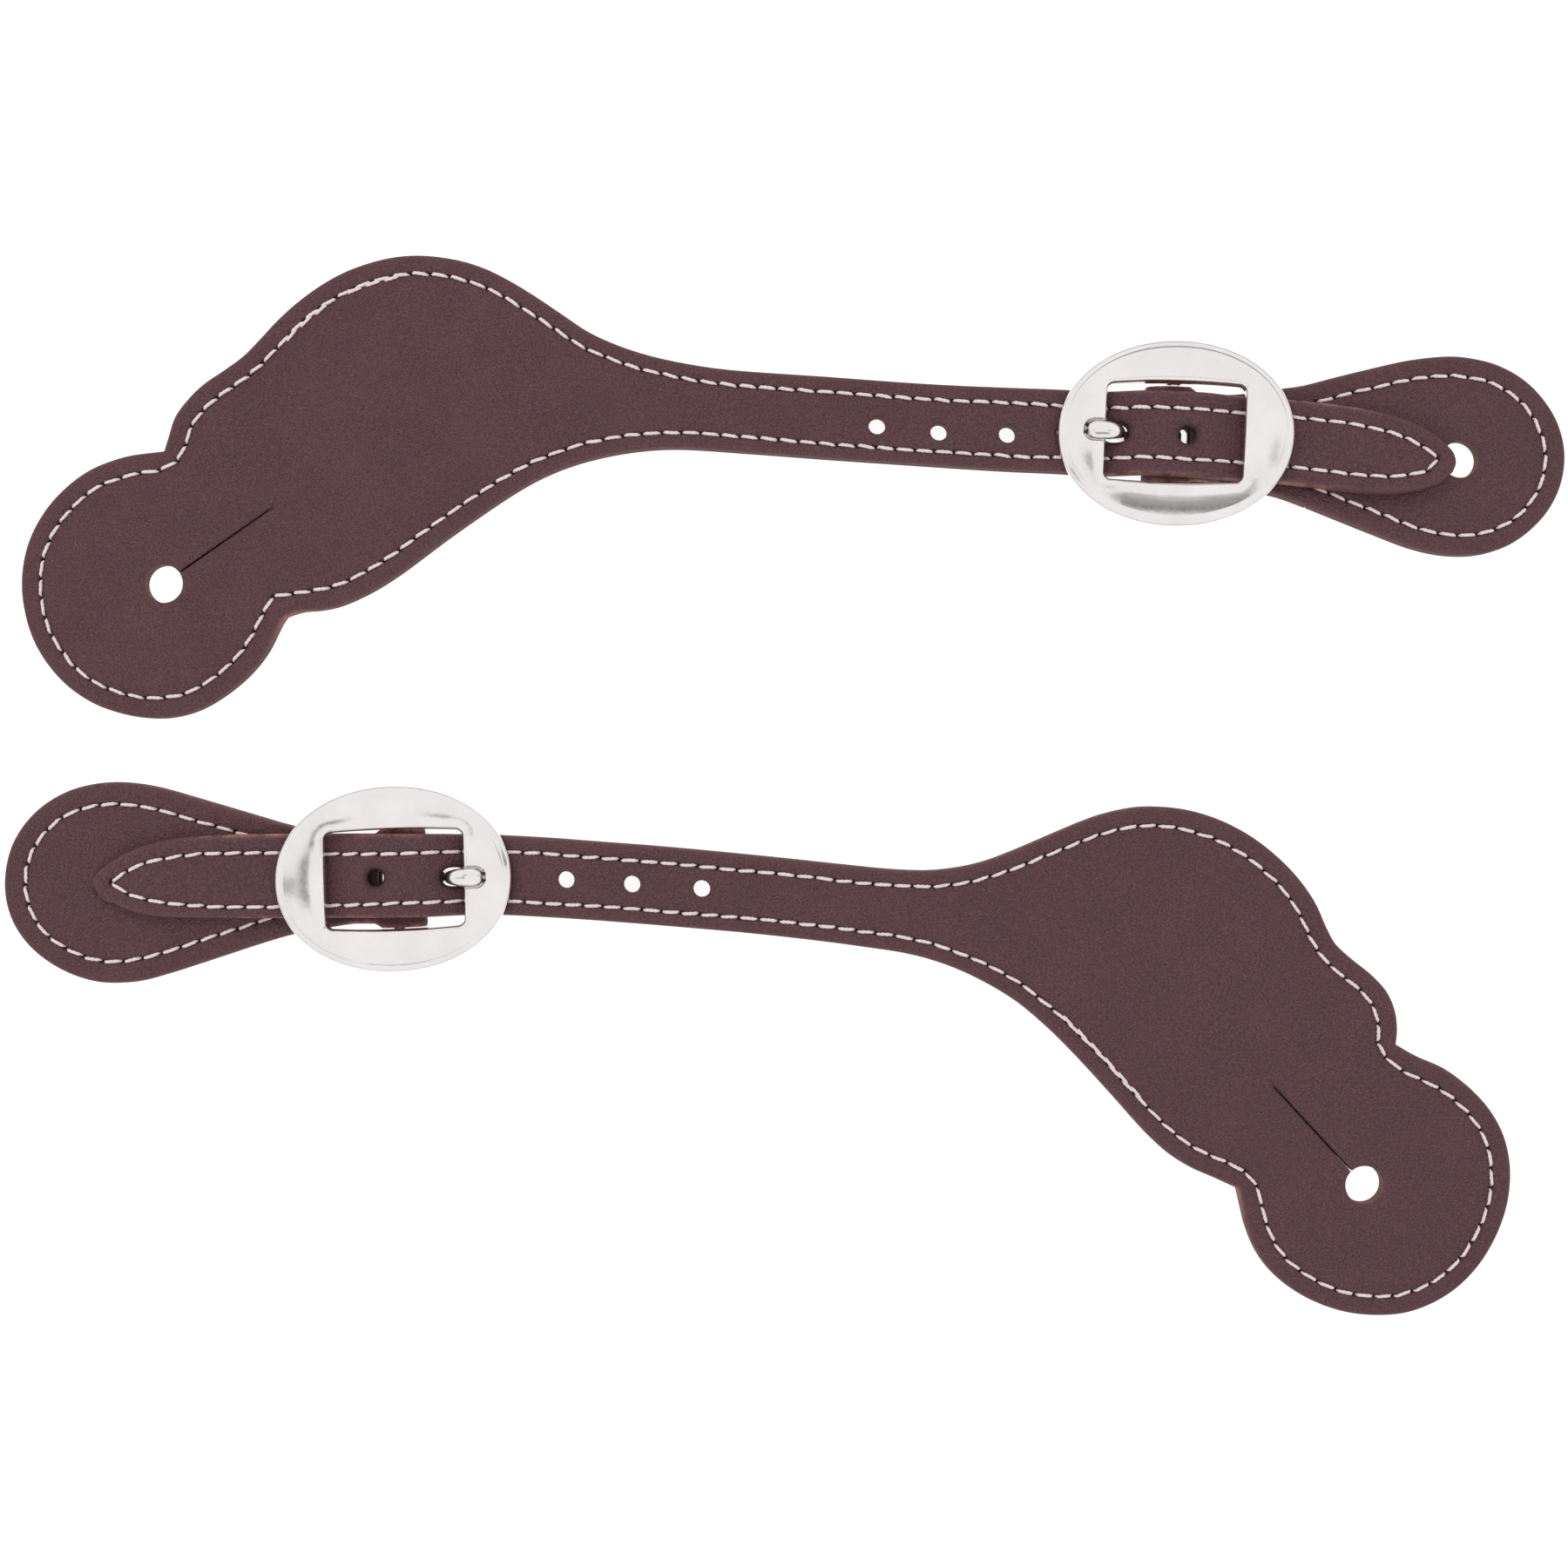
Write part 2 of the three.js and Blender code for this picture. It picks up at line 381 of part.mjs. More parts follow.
  // shank as a side band, then narrowed in plan to a rounded tip
  const N = 22, up = [], dn = [];
  for (let i = 0; i <= N; i++) {
    const p = path.getPointAt(i / N), t = path.getTangentAt(i / N);
    const taper = i / N > 0.9 ? 1 - (i / N - 0.9) * 4 : 1;
    const hh = (PRONG_T / 2) * taper;
    up.push([p.x - t.z * hh, p.z + t.x * hh]);
    dn.push([p.x + t.z * hh, p.z - t.x * hh]);
  }
  const band = solid(place(prism([...up, ...dn.slice().reverse()], 0, PRONG_W), toSide));
  const plan = solid(prism([[0, -2.1], [0, 2.1], [-9, 2.1], [-17, 1.75], [-19.2, 1.4], [-20.2, 0.7], [-20.5, 0], [-20.2, -0.7], [-19.2, -1.4], [-17, -1.75], [-9, -2.1]], -2, 12));
  const bore = new THREE.CylinderGeometry(RING_RI, RING_RI, 8, 16);
  bore.translate(0, 0, 0);
  const prong = eye[0].add(band.intersect(plan)).subtract(solid(place(bore, barM)));
  add(`${S.side}_buckle_prong`, L(toGeometry(prong)), 'steel');

  // --- tab: one leaf from the teardrop over the bar, folded round it, its short leaf
  // returning underneath; the lining ply starts where that leaf ends
  const prof = [[110, PLY], [16.5, PLY]];
  for (const u of [14.4, 12.3, 10.25, 8.2, 6.1, 4]) prof.push([u, neckTop(u)]);
  for (let i = 0; i <= 12; i++) {
    const t = Math.PI / 2 + (Math.PI * i) / 12;
    prof.push([FOLD_A * Math.cos(t), BAR_Z + BAR_Z * Math.sin(t)]);
  }
  prof.push([LEAF_END - h, 0], [LEAF_END - h, 1.3]);
  for (let i = 0; i <= 10; i++) {
    const t = (3 * Math.PI) / 2 - (Math.PI * i) / 10;
    prof.push([4.4 * Math.cos(t), 2.725 + 1.425 * Math.sin(t)]);
  }
  for (const u of [4, 6.1, 8.2, 10.25, 12.3, 14.4, 16.5]) prof.push([u, neckLow(u)]);
  prof.push([110, LINING]);
  const tabPlan = solid(prism(tabOutline, -1, 12));
  const slot = L(prism([[-8, -2.9], [4, -2.9], [4, 2.9], [-8, 2.9]], -2, 12));
  const keyT = solid(prism(keyhole(S.tabHole, TABHOLE_R, S.tabSlit), -1, 6));
  const tabFace = tabPlan.intersect(L(sideSolid(prof, -40, 40))).subtract(slot).subtract(keyT);
  add(`${S.side}_tab_face`, tabFace, 'leather');
  const tabEnd = slab(LEAF_END + h, 200);
  add(`${S.side}_tab_lining`, solid(prism(tabOutline, 0, LINING)).intersect(tabEnd).subtract(keyT), 'lining');

  // --- sewn lines, one per moving section
  const lookup = (t, x) => {
    if (x <= t[0][0]) return t[0][1];
    for (let i = 1; i < t.length; i++) {
      if (x <= t[i][0]) return t[i - 1][1] + (t[i][1] - t[i - 1][1]) * (x - t[i - 1][0]) / (t[i][0] - t[i - 1][0]);
    }
    return t[t.length - 1][1];
  };
  const above = (p) => (p[0] - S.bar[0]) * ev[0] + (p[1] - S.bar[1]) * ev[1] > 0;
  const sewn = (p) => lookup(above(p) ? S.sewTop : S.sewLow, p[0]);
  const ringW = threadRing(whole, sewn, PLY, PLY + THREAD_H);
  const wingT = ringW.intersect(wingSide);
  add(`${S.side}_wing_thread`, wingT, 'thread');
  const strapT = ringW.intersect(strapSide).intersect(beforeBillet).decompose();
  const yOf = (m) => { const b = m.boundingBox(); return b.max[1] + b.min[1]; };
  strapT.sort((p, q) => yOf(q) - yOf(p));
  add(`${S.side}_strap_thread_upper`, strapT[0], 'thread');
  add(`${S.side}_strap_thread_lower`, strapT[1], 'thread');
  const ringB = threadRing(whole, sewn, -1, 25);
  const sheetT = L(sideSolid(strapSheet(PLY + 0.03, PLY + THREAD_H), -60, 60));
  const bandB = ringB.intersect(sheetT);
  const billetT = bandB.intersect(billetPart).decompose();
  billetT.sort((p, q) => yOf(q) - yOf(p));
  add(`${S.side}_billet_thread_upper`, billetT[0], 'thread');
  add(`${S.side}_billet_thread_lower`, billetT[1], 'thread');
  add(`${S.side}_tongue_thread`, bandB.intersect(tonguePart), 'thread');
  const ringT = threadRing(tabOutline, () => S.stitchTab, PLY, PLY + THREAD_H);
  add(`${S.side}_tab_thread`, ringT.intersect(slab(17, 200)), 'thread');
}

for (const S of STRAPS) buildStrap(S);
group.children.forEach((m) => m.geometry.translate(SHIFT[0], SHIFT[1], 0));

export default group;
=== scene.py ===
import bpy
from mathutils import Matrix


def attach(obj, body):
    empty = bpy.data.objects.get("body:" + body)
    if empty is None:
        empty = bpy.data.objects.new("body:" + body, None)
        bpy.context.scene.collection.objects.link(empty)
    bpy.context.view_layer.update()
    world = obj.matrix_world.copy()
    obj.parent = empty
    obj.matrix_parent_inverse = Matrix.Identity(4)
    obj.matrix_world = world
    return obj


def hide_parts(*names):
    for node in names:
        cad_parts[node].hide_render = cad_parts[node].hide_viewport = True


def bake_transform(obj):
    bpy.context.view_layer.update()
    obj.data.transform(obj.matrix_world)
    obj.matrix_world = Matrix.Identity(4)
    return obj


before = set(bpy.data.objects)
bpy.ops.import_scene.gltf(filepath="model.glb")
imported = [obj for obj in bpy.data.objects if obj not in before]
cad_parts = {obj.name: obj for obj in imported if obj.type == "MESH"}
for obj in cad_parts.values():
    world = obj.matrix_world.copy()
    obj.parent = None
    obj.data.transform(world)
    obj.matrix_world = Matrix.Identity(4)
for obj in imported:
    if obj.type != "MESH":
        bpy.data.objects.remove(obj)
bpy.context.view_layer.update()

import math

import bmesh
import bpy
import numpy as np
from mathutils import Vector
from mathutils.geometry import delaunay_2d_cdt

# A mirrored pair of stitched leather spur straps lying flat. Everything is worked out in
# millimetres in the CAD frame and scaled to metres when a mesh is made.
SHIFT = (-0.13, 0.32)
LINING, PLY = 1.6, 3.6
PITCH = 4.37
BAR_Z, FOLD_A = 2.8, 6.4
LEAF_END = 31.0
RING_LIFT, RING_TILT = 6.5, math.radians(5.4)

# Outline stations, as in the CAD source. bar is the buckle bar's centre, dir the direction
# from the bar to the tab in degrees.
STRAPS = [
  {
    "side": "left", "bar": [86.5, 77.4], "dir": -2.6, "mirror": False,
    "edgeA": [[41.6, 88.85], [31.1, 89.4], [9, 91.0], [-13.0, 92.6], [-21.3, 93.8], [-29.3, 95.5], [-36.6, 97.8], [-43.7, 101.0], [-50, 105.2], [-56.3, 109.4], [-62.2, 112.9], [-67.0, 115.2], [-72.9, 117.0], [-81.0, 118.0], [-87.2, 117.6], [-93.0, 116.2], [-98.5, 114.1], [-103.8, 111.1], [-109.3, 107.0], [-113.6, 103.0], [-117.2, 99.1], [-120.9, 95.4], [-125, 92.4], [-129.4, 89.4], [-132.6, 86.4], [-135.9, 82.0], [-137.5, 77.2], [-138.4, 74.3]],
    "edgeB": [[-138.4, 74.3], [-146.1, 73.3], [-151.4, 71.7], [-155.3, 69.9], [-159.5, 66.9], [-164.0, 62.3], [-167.4, 56.9], [-169.4, 51.4], [-170.2, 44.9], [-169.6, 38.8], [-167.7, 32.4], [-164.4, 26.7], [-159.8, 21.7], [-154.2, 18.0], [-148.1, 15.8], [-142.4, 14.8], [-136.7, 14.9], [-130.6, 16.6], [-124.8, 20.0], [-119.5, 24.5], [-115.6, 29.4], [-112.2, 36.0], [-111.2, 37.4]],
    "edgeC": [[-111.2, 37.4], [-107.6, 38.5], [-103.4, 38.9], [-99.0, 39.9], [-92.7, 42.7], [-86.5, 46.5], [-74.2, 55.6], [-60.9, 64.7], [-54.4, 68.4], [-47.0, 71.4], [-38.4, 73.6], [-30.6, 74.7], [-23.5, 75.0], [-6, 73.9], [10, 72.7], [40.8, 70.6]],
    "billetTop": [[41.6, 88.85], [52, 88.45], [62.4, 88.05], [70, 87.55], [79.3, 86.8], [90, 86.25], [99.4, 85.75], [106, 85.4], [112.2, 84.9], [120, 84.1], [127.7, 83.0], [134.75, 81.4], [141.35, 78.8], [145.8, 75.7]],
    "billetTip": [[145.8, 75.7], [148.0, 73.3], [148.6, 71.0], [147.9, 69.0]],
    "billetBottom": [[147.9, 69.0], [145.3, 66.8], [141.35, 65.3], [134.75, 64.3], [127.7, 64.6], [121.5, 65.3], [109.6, 66.65], [99.4, 67.3], [86, 67.95], [70.2, 68.85], [62, 69.5], [50, 70.05], [40.8, 70.6]],
    "tab": [[115.5, 88.9], [123.4, 90.9], [131.2, 92.8], [140.0, 94.7], [148.9, 95.5], [153.8, 95.0], [158.6, 93.8], [163.2, 91.6], [166.9, 88.8], [169.9, 85.4], [172.3, 81.5], [173.8, 77.1], [174.3, 72.9], [173.8, 68.4], [172.4, 64.2], [170.0, 60.2], [166.6, 56.6], [163.2, 54.1], [159.6, 52.4], [155.4, 51.3], [151.0, 51.0], [146.1, 51.4], [140.2, 52.8], [132, 55.9], [124, 59.1], [116.0, 62.3]],
    "neckV": [12.0, -11.9], "fold": [10.9, -10.3], "stitchTab": 4.4,
    "sewTop": [[-93, 4.35], [-38, 3.55], [50, 3.55], [70, 3.85], [138, 3.85], [148, 3.6]],
    "sewLow": [[-93, 4.35], [-38, 3.5], [-10, 3.25], [16, 3.05], [56, 3.05], [66, 3.55], [148, 3.6]],
    "holes": [[20.8, 80.0], [34.6, 78.6], [49.9, 78.1], [62.9, 78.4], [88.3, 76.7]],
    "wingHole": [-138.4, 44.7], "wingSlit": [-115.0, 61.0],
    "tabHole": [150.3, 72.5], "tabSlit": [127.0, 74.9],
    "wingFlex": [-21.4, 84.4], "wingFlexDir": -3.8,
  },
  {
    "side": "right", "bar": [-86.2, -21.0], "dir": 181.5, "mirror": True,
    "edgeA": [[-41.4, -12.9], [-25.9, -14.1], [0, -16.6], [14, -18.1], [24.6, -19.1], [32.7, -19.3], [39.6, -18.5], [45, -17.2], [50.9, -15.0], [60.5, -10.9], [66.2, -8.5], [71.3, -6.7], [78.6, -5.2], [84.0, -5.1], [89.4, -5.7], [94.2, -6.9], [99.3, -8.9], [105.1, -12.2], [110.5, -16.5], [115, -21.2], [118.7, -26.6], [121.3, -32.4], [123.1, -35.6], [126.1, -38.5], [131.6, -43.0], [134.8, -46.7], [136.5, -51.0], [136.9, -54.9], [136.6, -58.2]],
    "edgeB": [[136.6, -58.2], [141.2, -60.8], [147.6, -63.7], [153.4, -68.1], [157.7, -72.9], [160.6, -78.3], [162.0, -84.3], [162.0, -90.3], [160.9, -95.9], [158.5, -101.9], [155.1, -107.4], [150.3, -112.4], [144.6, -116.0], [138.5, -118.1], [131.9, -118.6], [125.4, -117.9], [119.4, -116.0], [113.6, -112.9], [108.7, -108.8], [105.5, -104.3], [103.3, -99.0], [102.1, -94.2], [101.2, -90.3]],
    "edgeC": [[101.2, -90.3], [96.0, -87.9], [91.2, -85.8], [86.4, -82.9], [81.4, -78.5], [73, -69.2], [65.1, -60.6], [58.2, -53.8], [51.4, -48.2], [43.0, -43.3], [35.5, -40.1], [27.6, -37.9], [18, -36.4], [7.5, -35.0], [-6.9, -33.4], [-25, -31.8], [-41.2, -30.5]],
    "billetTop": [[-41.4, -12.9], [-52, -12.1], [-62.8, -11.5], [-71, -11.25], [-85, -11.0], [-99.4, -11.0], [-109.5, -11.1], [-118, -11.2], [-126.7, -11.45], [-134.2, -12.0], [-139.6, -13.1], [-144.8, -14.9], [-149.4, -17.6]],
    "billetTip": [[-149.4, -17.6], [-151.9, -19.7], [-152.9, -21.7], [-152.0, -23.6]],
    "billetBottom": [[-152.0, -23.6], [-149.9, -25.4], [-146.6, -27.2], [-141.3, -28.9], [-135.6, -29.5], [-128.9, -29.6], [-122.3, -29.65], [-111.3, -29.65], [-99.4, -29.5], [-85, -29.35], [-71, -29.2], [-62.8, -29.25], [-52, -29.8], [-41.2, -30.5]],
    "tab": [[-118.2, -7.0], [-129, -3.8], [-139.6, -0.8], [-144.7, 0.1], [-149.4, 0.4], [-154.6, -0.1], [-159.4, -1.4], [-163.9, -3.7], [-167.3, -6.4], [-170.2, -9.8], [-172.4, -13.8], [-173.6, -18.1], [-174.0, -22.4], [-173.5, -26.8], [-172.1, -30.9], [-169.8, -34.6], [-166.5, -38.0], [-162.3, -40.9], [-157.7, -43.0], [-153.1, -44.2], [-148.2, -44.4], [-143.3, -43.9], [-137.6, -42.4], [-124, -38.0], [-117, -35.7]],
    "neckV": [12.4, -12.0], "fold": [10.9, -10.9], "stitchTab": 4.8,
    "sewTop": [[-152, 3.5], [-140, 3.8], [-125, 3.95], [-112, 4.1], [-100, 4.45], [-88, 4.4], [-79, 4.0], [-70, 3.7], [-60, 3.55], [38, 3.55], [93, 4.35]],
    "sewLow": [[-152, 3.5], [-145, 3.35], [-136, 3.1], [-130, 2.8], [-125, 2.5], [-118, 2.5], [-100, 2.75], [-90, 3.0], [-83, 3.2], [-75, 3.3], [-58, 3.2], [-29, 3.2], [0, 3.4], [38, 3.55], [93, 4.35]],
    "holes": [[-48.7, -21.4], [-34.0, -22.4], [-18.4, -23.4], [-63.0, -20.6], [-89.4, -20.6]],
    "wingHole": [129.5, -89.5], "wingSlit": [109.4, -67.7],
    "tabHole": [-150.7, -21.7], "tabSlit": [-127.0, -21.0],
    "wingFlex": [21.7, -27.9], "wingFlexDir": 173.5,
  },
]

rng = np.random.default_rng(7)


# ------------------------------------------------------------------ plane geometry
def resample(c, step, closed=False):
    c = np.asarray(c, float)
    if closed:
        c = np.vstack([c, c[:1]])
    s = np.r_[0, np.cumsum(np.hypot(*np.diff(c, axis=0).T))]
    n = max(2, int(round(s[-1] / step)))
    t = np.linspace(0, s[-1], n + 1)
    q = np.c_[np.interp(t, s, c[:, 0]), np.interp(t, s, c[:, 1])]
    return q[:-1] if closed else q


def smooth(stations, step=0.8):
    """Centripetal Catmull-Rom through the stations, evenly spaced."""
    p = np.asarray(stations, float)
    e = np.vstack([2 * p[0] - p[1], p, 2 * p[-1] - p[-2]])
    out = []
    for i in range(1, len(e) - 2):
        p0, p1, p2, p3 = e[i - 1], e[i], e[i + 1], e[i + 2]
        d0, d1, d2 = (max(np.linalg.norm(b - a) ** 0.5, 1e-3) for a, b in ((p0, p1), (p1, p2), (p2, p3)))
        t1 = ((p1 - p0) / d0 - (p2 - p0) / (d0 + d1) + (p2 - p1) / d1) * d1
        t2 = ((p2 - p1) / d1 - (p3 - p1) / (d1 + d2) + (p3 - p2) / d2) * d1
        t = np.linspace(0, 1, 24, endpoint=False)[:, None]
        out.append(p1 + t1 * t + (-3 * p1 + 3 * p2 - 2 * t1 - t2) * t**2 + (2 * p1 - 2 * p2 + t1 + t2) * t**3)
    out.append(p[-1:])
    return resample(np.vstack(out), step)


def join(*parts):
    out = []
    for part in parts:
        for p in part:
            if not out or math.hypot(out[-1][0] - p[0], out[-1][1] - p[1]) > 0.05:
                out.append((float(p[0]), float(p[1])))
    if math.hypot(out[0][0] - out[-1][0], out[0][1] - out[-1][1]) < 0.05:
        out.pop()
    q = np.array(out)
    return q if area(q) > 0 else q[::-1].copy()


def area(q):
    a, b = q, np.roll(q, -1, 0)
    return 0.5 * float((a[:, 0] * b[:, 1] - b[:, 0] * a[:, 1]).sum())


def nearest(P, Q, closed=True):
    """Distance from each point to a polyline."""
    A, B = (Q, np.roll(Q, -1, 0)) if closed else (Q[:-1], Q[1:])
    D = B - A
    L2 = (D**2).sum(1) + 1e-12
    out = np.empty(len(P))
    for i in range(0, len(P), 1200):
        p = P[i : i + 1200, None, :] - A[None]
        t = np.clip((p * D).sum(2) / L2, 0, 1)
        out[i : i + 1200] = np.sqrt(((p - t[..., None] * D) ** 2).sum(2).min(1))
    return out


def near_points(P, Q):
    out = np.empty(len(P))
    for i in range(0, len(P), 2000):
        out[i : i + 2000] = np.sqrt(((P[i : i + 2000, None, :] - Q[None]) ** 2).sum(2).min(1))
    return out


def slots(P, needles, closed):
    """Distance to the nearest needle slot, 1 on its rim: slots lie along the sewn line."""
    t = (np.roll(needles, -1, 0) - np.roll(needles, 1, 0)) if closed else np.gradient(needles, axis=0)
    t = t / (np.linalg.norm(t, axis=1)[:, None] + 1e-9)
    out = np.full(len(P), 99.0)
    for i in range(0, len(P), 2000):
        p = P[i : i + 2000, None, :] - needles[None]
        k = (p**2).sum(2).argmin(1)
        q = p[np.arange(len(k)), k]
        a = (q * t[k]).sum(1)
        b = q[:, 1] * t[k][:, 0] - q[:, 0] * t[k][:, 1]
        out[i : i + 2000] = np.hypot((a + 0.35 * b) / 0.72, b / 0.40)
    return out


def inside(P, Q):
    x, y = P[:, 0], P[:, 1]
    c = np.zeros(len(P), bool)
    for (x0, y0), (x1, y1) in zip(Q, np.roll(Q, -1, 0)):
        if y0 != y1:
            c ^= ((y0 > y) != (y1 > y)) & (x < (x1 - x0) * (y - y0) / (y1 - y0) + x0)
    return c


def normals_in(Q):
    t = np.roll(Q, -1, 0) - np.roll(Q, 1, 0)
    t /= np.linalg.norm(t, axis=1)[:, None] + 1e-12
    return np.c_[-t[:, 1], t[:, 0]]


def inset(Q, d):
    d = np.broadcast_to(np.asarray(d, float), (len(Q),))
    q = Q + normals_in(Q) * d[:, None]
    return q[nearest(q, Q) > 0.97 * d]


def circle(c, r, n=28):
    t = np.linspace(0, 2 * np.pi, n, endpoint=False)
    return np.c_[c[0] + r * np.cos(t), c[1] + r * np.sin(t)]


def keyhole(c, r, tip, w0=0.36, w1=0.14):
    """A round hole with a narrow slit from it to a point."""
    c, tip = np.array(c, float), np.array(tip, float)
    d = tip - c
    L = np.hypot(*d)
    u = d / L
    n = np.array([-u[1], u[0]])
    h = w0 / 2
    a0, da = math.atan2(u[1], u[0]), math.asin(h / r)
    k = np.linspace(0, 1, 40)
    t = a0 + da + (2 * np.pi - 2 * da) * k
    ring = np.c_[c[0] + r * np.cos(t), c[1] + r * np.sin(t)]
    m = max(6, int((L - r) / 1.2))
    f = np.linspace(0, 1, m + 1)[1:]
    base = r * math.cos(da)
    lo = np.array([c + u * (base + (L - base) * x) - n * (h + (w1 / 2 - h) * x) for x in f])
    hi = np.array([c + u * (base + (L - base) * x) + n * (h + (w1 / 2 - h) * x) for x in f])[::-1]
    return np.vstack([ring, lo, hi])


def step01(t):
    t = np.clip(t, 0, 1)
    return t * t * (3 - 2 * t)


def strap_low(u):
    """Height of the strap's underside along the buckle's axis."""
    u = np.asarray(u, float)
    return np.where(u < 0, 6.2 * step01((u + 19) / 15), 6.2 + (3.9 - 6.2) * step01((u - 4) / 12.5))


def wave(P, scale, seed):
    """Slow smooth variation from a few fixed sines, about -1 to 1."""
    r = np.random.default_rng(seed)
    out = np.zeros(len(P))
    for _ in range(6):
        a = r.uniform(0, 2 * np.pi)
        k = 2 * np.pi / (scale * r.uniform(0.7, 1.6))
        out += np.sin(k * (P[:, 0] * math.cos(a) + P[:, 1] * math.sin(a)) + r.uniform(0, 7))
    return out / 3.5


# ------------------------------------------------------------------ triangulated sheets
class Bag:
    """Collects points and drops those nearer than r to one already taken."""

    def __init__(self, cell=0.6):
        self.cell, self.g, self.p = cell, {}, []

    def add(self, pts, r):
        kept, c = [], self.cell
        reach = int(math.ceil(r / c))
        for x, y in pts:
            i, j = int(math.floor(x / c)), int(math.floor(y / c))
            ok = True
            for a in range(i - reach, i + reach + 1):
                for b in range(j - reach, j + reach + 1):
                    for q in self.g.get((a, b), ()):
                        px, py = self.p[q]
                        if (px - x) ** 2 + (py - y) ** 2 < r * r:
                            ok = False
                            break
                    if not ok:
                        break
                if not ok:
                    break
            if ok or r <= 0:
                self.g.setdefault((i, j), []).append(len(self.p))
                kept.append(len(self.p))
                self.p.append((x, y))
        return kept


EDGE_ROWS = (0.05, 0.15, 0.3, 0.5, 0.8, 1.2)


def triangulate(outline, holes=(), seams=(), rows=(), pits=None, grid=1.7):
    """Plane triangulation of an outline with holes. rows are closed or open point lines to
    follow, pits are needle points, seams are (p, q) cuts from edge to edge."""
    bag = Bag()
    bag.add(outline, 0)
    n = len(outline)
    edges = [(i, (i + 1) % n) for i in range(n)]
    for h in holes:
        k = len(bag.p)
        bag.add(h, 0)
        edges += [(k + i, k + (i + 1) % len(h)) for i in range(len(h))]
    cuts = []
    for p, q in seams:
        i = int(np.argmin(((outline - p) ** 2).sum(1)))
        j = int(np.argmin(((outline - q) ** 2).sum(1)))
        a, b = outline[i], outline[j]
        L = np.hypot(*(b - a))
        near = [r for r in EDGE_ROWS] + [2.6, 2.95, 3.2, 3.5, 3.8, 4.05, 4.4]
        s = sorted(set(near + [L - x for x in near] + list(np.arange(5.4, L - 5.2, 1.2))))
        k = len(bag.p)
        bag.add([a + (b - a) * (x / L) for x in s], 0)
        chain = [i] + list(range(k, k + len(s))) + [j]
        edges += list(zip(chain[:-1], chain[1:]))
        cuts.append((a, b))
    if pits is not None and len(pits):
        bag.add(pits, 0.15)
        for r, m in ((0.28, 6), (0.52, 8), (0.8, 8)):
            t = np.linspace(0, 2 * np.pi, m, endpoint=False) + r
            bag.add((pits[:, None, :] + r * np.c_[np.cos(t), np.sin(t)][None]).reshape(-1, 2), 0.14)
    for h in holes:
        for d in (0.08, 0.2, 0.4, 0.8):
            o = h if area(h) > 0 else h[::-1]
            bag.add((o - normals_in(o) * d), 0.07 if d < 0.3 else 0.2)
    for d in EDGE_ROWS:
        bag.add(inset(outline, d), 0.045 if d < 0.1 else 0.08)
    for row in rows:
        bag.add(row, 0.2)
    lo, hi = outline.min(0), outline.max(0)
    gx, gy = np.meshgrid(np.arange(lo[0], hi[0], grid), np.arange(lo[1], hi[1], grid * 0.866))
    gx = gx + (np.arange(gx.shape[0]) % 2)[:, None] * grid / 2
    G = np.c_[gx.ravel(), gy.ravel()]
    G = G[inside(G, outline)]
    G = G[nearest(G, outline) > 1.6]
    bag.add(G, grid * 0.55)
    P = np.array(bag.p)
    keep = np.ones(len(P), bool)
    fixed = n + sum(len(h) for h in holes)
    for h in holes:  # loose points that fell inside a hole
        keep[fixed:] &= ~inside(P[fixed:], h)
    ins = inside(P, outline)
    keep[fixed:] &= ins[fixed:] | (nearest(P[fixed:], outline) < 1e-6)
    used = np.zeros(len(P), bool)
    used[np.array(edges).ravel()] = True
    keep |= used
    idx = -np.ones(len(P), int)
    idx[keep] = np.arange(keep.sum())
    P = P[keep]
    edges = [(int(idx[a]), int(idx[b])) for a, b in edges]
    v, _, f, *_ = delaunay_2d_cdt([Vector((float(a), float(b))) for a, b in P], edges, [], 0, 1e-5)
    V = np.array([(p.x, p.y) for p in v])
    T = np.array([list(t) for t in f if len(t) == 3])
    c = V[T].mean(1)
    ok = inside(c, outline)
    for h in holes:
        ok &= ~inside(c, h)
    T = T[ok]
    a, b, d = V[T[:, 0]], V[T[:, 1]], V[T[:, 2]]
    s = (b[:, 0] - a[:, 0]) * (d[:, 1] - a[:, 1]) - (b[:, 1] - a[:, 1]) * (d[:, 0] - a[:, 0])
    T[s < 0] = T[s < 0][:, ::-1]
    T = T[np.abs(s) > 1e-9]
    return V, T, cuts


def compact(V, T):
    use = np.unique(T)
    m = -np.ones(len(V), int)
    m[use] = np.arange(len(use))
    return use, m[T]


def rim(T):
    """Directed boundary edges of a triangle list."""
    e = np.vstack([T[:, [0, 1]], T[:, [1, 2]], T[:, [2, 0]]])
    key = {(int(a), int(b)) for a, b in e}
    return np.array([(a, b) for a, b in key if (b, a) not in key])


def mesh_object(name, V, F, mats, mat_index=None, attrs=None, sharp=50, smooth_shade=True):
    me = bpy.data.meshes.new(name)
    me.from_pydata([tuple(p) for p in V], [], F)
    for m in mats:
        me.materials.append(m)
    if mat_index is not None:
        me.polygons.foreach_set("material_index", np.asarray(mat_index, np.int32))
    for k, a in (attrs or {}).items():
        a = np.asarray(a, np.float32)
        if a.ndim == 2:
            at = me.attributes.new(k, "FLOAT_VECTOR", "POINT")
            at.data.foreach_set("vector", a.ravel())
        else:
            at = me.attributes.new(k, "FLOAT", "POINT")
            at.data.foreach_set("value", a)
    me.polygons.foreach_set("use_smooth", [smooth_shade] * len(me.polygons))
    me.update()
    if sharp:
        me.set_sharp_from_angle(angle=math.radians(sharp))
    o = bpy.data.objects.new(name, me)
    bpy.context.scene.collection.objects.link(o)
    return o


def metres(V):
    V = np.asarray(V, float).copy()
    V[:, 0] += SHIFT[0]
    V[:, 1] += SHIFT[1]
    return V * 0.001


